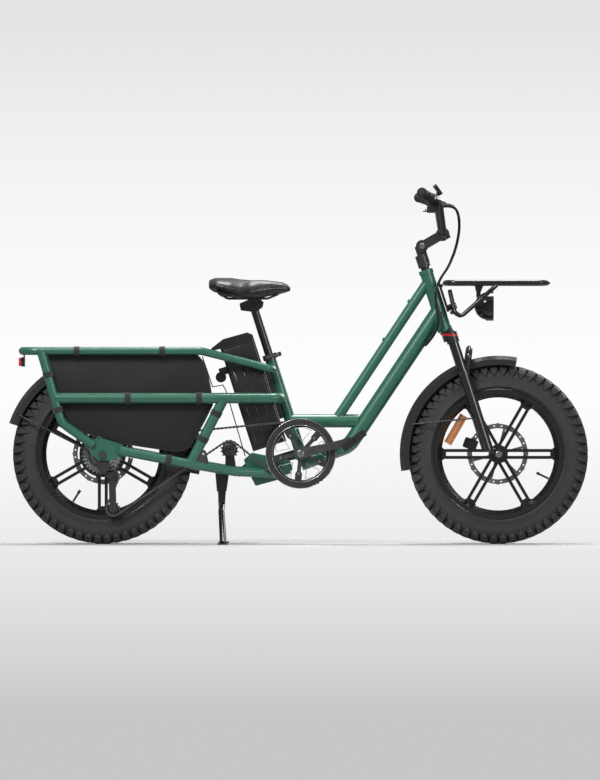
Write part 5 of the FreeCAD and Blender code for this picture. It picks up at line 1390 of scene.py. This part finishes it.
@dataclass
class Lamps:
    """Inner parts of the headlight and the rear light."""

    centre: Vector = field(default_factory=lambda: Vector((0.608, 0.0, 0.762)))
    bezel: Outline = (
        (0.0405, 0.0130), (0.0470, 0.0125), (0.0470, 0.0152), (0.0440, 0.0158), (0.0405, 0.0150))
    glass: Outline = ((0.0, 0.0128), (0.0404, 0.0122), (0.0404, 0.0136), (0.020, 0.0152), (0.0, 0.0157))
    fins: int = 12
    fin_r: float = 0.0462
    fin_depth: float = 0.0012
    fin_step: float = 0.0016
    fin_start: float = -0.0075
    cell_x: tuple[float, float] = (-0.8962, -0.8945)
    cell_first: tuple[float, float] = (-0.0325, 0.5765)
    cell_step: float = 0.0130
    cell_half: float = 0.0055
    cell_grid: tuple[int, int] = (6, 2)

    def build(self, shop: Workshop) -> None:
        """Make the bezel, glass and fins of the headlight and the cells of the rear light."""
        fins = [(self.fin_r - self.fin_depth * (k % 2), self.fin_start + k * self.fin_step)
                for k in range(self.fins)]
        fins += [(0.0452, 0.0110), (0.0445, -0.0080)]
        for name, section, finish in (("lamp_bezel", self.bezel, "bare_alloy"),
                                      ("lamp_glass_cover", self.glass, "lamp_glass"),
                                      ("lamp_fins", fins, "black_alloy")):
            finish_piece(revolve(name, section, self.centre, 56, axis=AHEAD), shop[finish], "lamp")
        finish_piece(joined("rear_light_cells", self.cells()), shop["red_prism"], "frame")

    def cells(self) -> list[Any]:
        """Square prisms of the rear light."""
        x0, x1 = self.cell_x
        cells = []
        for i in range(self.cell_grid[0]):
            for j in range(self.cell_grid[1]):
                y, z = self.cell_first[0] + i * self.cell_step, self.cell_first[1] + j * self.cell_step
                low, high = z - self.cell_half, z + self.cell_half
                cell = prism("cell", [(x0, low), (x1, low), (x1, high), (x0, high)], y - self.cell_half,
                             y + self.cell_half)
                cells.append(bevelled(cell, 0.0006))
        return cells


# ---- studio --------------------------------------------------------------------------------
@dataclass(frozen=True)
class SoftBox:
    """Square area light."""

    name: str
    place: Point
    size: float
    power: float


@dataclass
class Studio:
    """Camera, soft lights, pale floor and background."""

    camera_y: float = -25.0
    lens: float = 360.0
    middle: tuple[float, float] = (0.004, 0.493)
    floor_r: float = 3.2
    floor_full: float = 0.75
    floor_fade: float = 0.9
    floor_squash: float = 2.2
    aim: Point = (0.0, 0.0, 0.5)
    lights: tuple[SoftBox, ...] = (
        SoftBox("key", (-2.6, -4.6, 4.4), 1.8, 300.0), SoftBox("fill", (3.6, -4.0, 1.6), 2.0, 60.0),
        SoftBox("top", (0.4, 0.6, 4.6), 2.2, 260.0), SoftBox("rim", (2.4, 3.6, 2.4), 2.0, 70.0))

    def build(self) -> None:
        """Make the studio round the bicycle."""
        scene = bpy.context.scene
        scene.view_settings.view_transform = "Standard"
        data = bpy.data.cameras.new("camera")
        data.lens = self.lens
        data.sensor_width = 36.0
        data.clip_end = 100.0
        camera = linked("camera", data)
        camera.location = (self.middle[0], self.camera_y, self.middle[1])
        camera.rotation_euler = (math.radians(90), 0, 0)
        scene.camera = camera
        self.world(scene)
        self.floor()
        for box in self.lights:
            self.lamp(box)

    def lamp(self, box: SoftBox) -> None:
        """Put up one light, aimed at the middle of the bicycle."""
        data = bpy.data.lights.new(box.name, "AREA")
        data.size = box.size
        data.energy = box.power
        light = linked(box.name, data)
        light.location = box.place
        light.rotation_euler = (Vector(self.aim) - Vector(box.place)).to_track_quat("-Z", "Y").to_euler()

    def world(self, scene: bpy.types.Scene) -> None:
        """Pale backdrop seen by the camera, soft grey light elsewhere."""
        world = bpy.data.worlds.new("studio")
        world.use_nodes = True
        scene.world = world
        world.node_tree.nodes.clear()
        g = Graph(world.node_tree)
        path = g.make("ShaderNodeLightPath").outputs
        seen = (g.num(path["Is Camera Ray"]) + g.num(path["Is Transmission Ray"])).clamped()
        rise = g.num(g.make("ShaderNodeSeparateXYZ", {}, {0: g.add("ShaderNodeTexCoord")}).outputs[2])
        above = (rise * 21.0).clamped() ** 1.6 * 0.22
        below = (rise * -24.0).clamped() ** 1.3 * 0.42
        shade = 1.0 - above - below
        tint = g.add("ShaderNodeCombineColor", {}, {0: shade * 0.985, 1: shade * 0.985, 2: shade})
        light = g.make("ShaderNodeBackground", {}, {"Color": (0.90, 0.92, 0.95, 1.0), "Strength": 0.30})
        paper = g.make("ShaderNodeBackground", {}, {"Color": tint, "Strength": 1.0})
        mixed = g.add("ShaderNodeMixShader", {}, {0: seen, 1: light.outputs[0], 2: paper.outputs[0]})
        g.make("ShaderNodeOutputWorld", {}, {"Surface": mixed})

    def floor(self) -> None:
        """Pale round floor that fades out before its edge."""
        rim = [(x, y, 0.0) for x, y in circle(self.floor_r, 64)]
        ground = mesh_piece("studio_floor", rim, [tuple(range(64))], smooth=False)
        s = Surface("floor_paper")
        x, y, _ = s.axes()
        away = (x ** 2 + y ** 2 * self.floor_squash) ** 0.5
        s.set("Base Color", s.mix(s.noise(0.6), (0.44, 0.44, 0.45), (0.48, 0.48, 0.49)))
        s.set("Roughness", 0.9)
        s.set("Specular IOR Level", 0.1)
        s.set("Alpha", (1.0 - (away - self.floor_full) / self.floor_fade).clamped() ** 1.5)
        ground.data.materials.append(s.material)


# ---- assembly ------------------------------------------------------------------------------
NODES_BY_FINISH = {
    "green_paint": ("main_frame", "base_box", "rear_rails", "rear_stays"),
    "black_alloy": ("frame_bearings", "battery_mount", "derailleur", "rear_caliper", "seat_collar",
        "chain_guard", "front_caliper", "stem_base", "stem_arm", "seat_lever"),
    "green_plates": ("dropouts",),
    "panel_sheet": ("side_panels",),
    "strap_web": ("panel_straps",),
    "fender_shell": ("rear_fender", "front_fender"),
    "rear_lamp": ("rear_light",),
    "black_paint": ("stay_brackets", "rack_platform", "rack_struts", "center_stand", "front_cast_wheel",
        "rear_cast_wheel", "handlebar", "seatpost"),
    "steel": ("chain", "cassette", "front_rotor", "rear_rotor"),
    "cable_jacket": ("cable_loom", "bar_cables"),
    "black_plastic": ("idler_wheel", "upper_jockey", "lower_jockey", "pedal_right", "pedal_left",
        "bar_controls", "shift_lever", "saddle_base"),
    "crank_alloy": ("right_crank", "left_crank"),
    "dark_steel": ("chain_ring",),
    "tyre_rubber": ("front_tyre", "rear_tyre"),
    "amber_prism": ("front_reflector",),
    "crown_black": ("fork_crown",),
    "stanchion_metal": ("stanchions",),
    "fork_black": ("fork_lowers",),
    "grip_rubber": ("grips", "button_up", "button_down"),
    "gloss_plastic": ("display", "headlight"),
    "bare_alloy": ("brake_lever_right", "brake_lever_left"),
    "saddle_skin": ("saddle",),
    "battery_shell": ("battery",)}


def main() -> None:
    """Build the bicycle, dress it and set the studio."""
    logging.basicConfig(level=logging.INFO, format="%(message)s")
    shop = Workshop()
    scatter = Scatter()
    for finish, nodes in NODES_BY_FINISH.items():
        for node in nodes:
            shop.dress(node, finish)
    KnobbyTyre("front_knobby_tyre", "front_tyre", "front_wheel", FRONT_AXLE).build(shop, scatter)
    KnobbyTyre("rear_knobby_tyre", "rear_tyre", "rear_wheel", REAR_AXLE).build(shop, scatter)
    Drivetrain().build(shop, scatter)
    Saddle().build(shop)
    Grips().build(shop)
    Cables().build(shop)
    CargoPanels().build(shop, scatter)
    BatteryTrim().build(shop, scatter)
    Fasteners().build(shop, scatter)
    GuardTrim().build(shop)
    Lamps().build(shop)
    Studio().build()


if __name__ == "__main__":
    main()
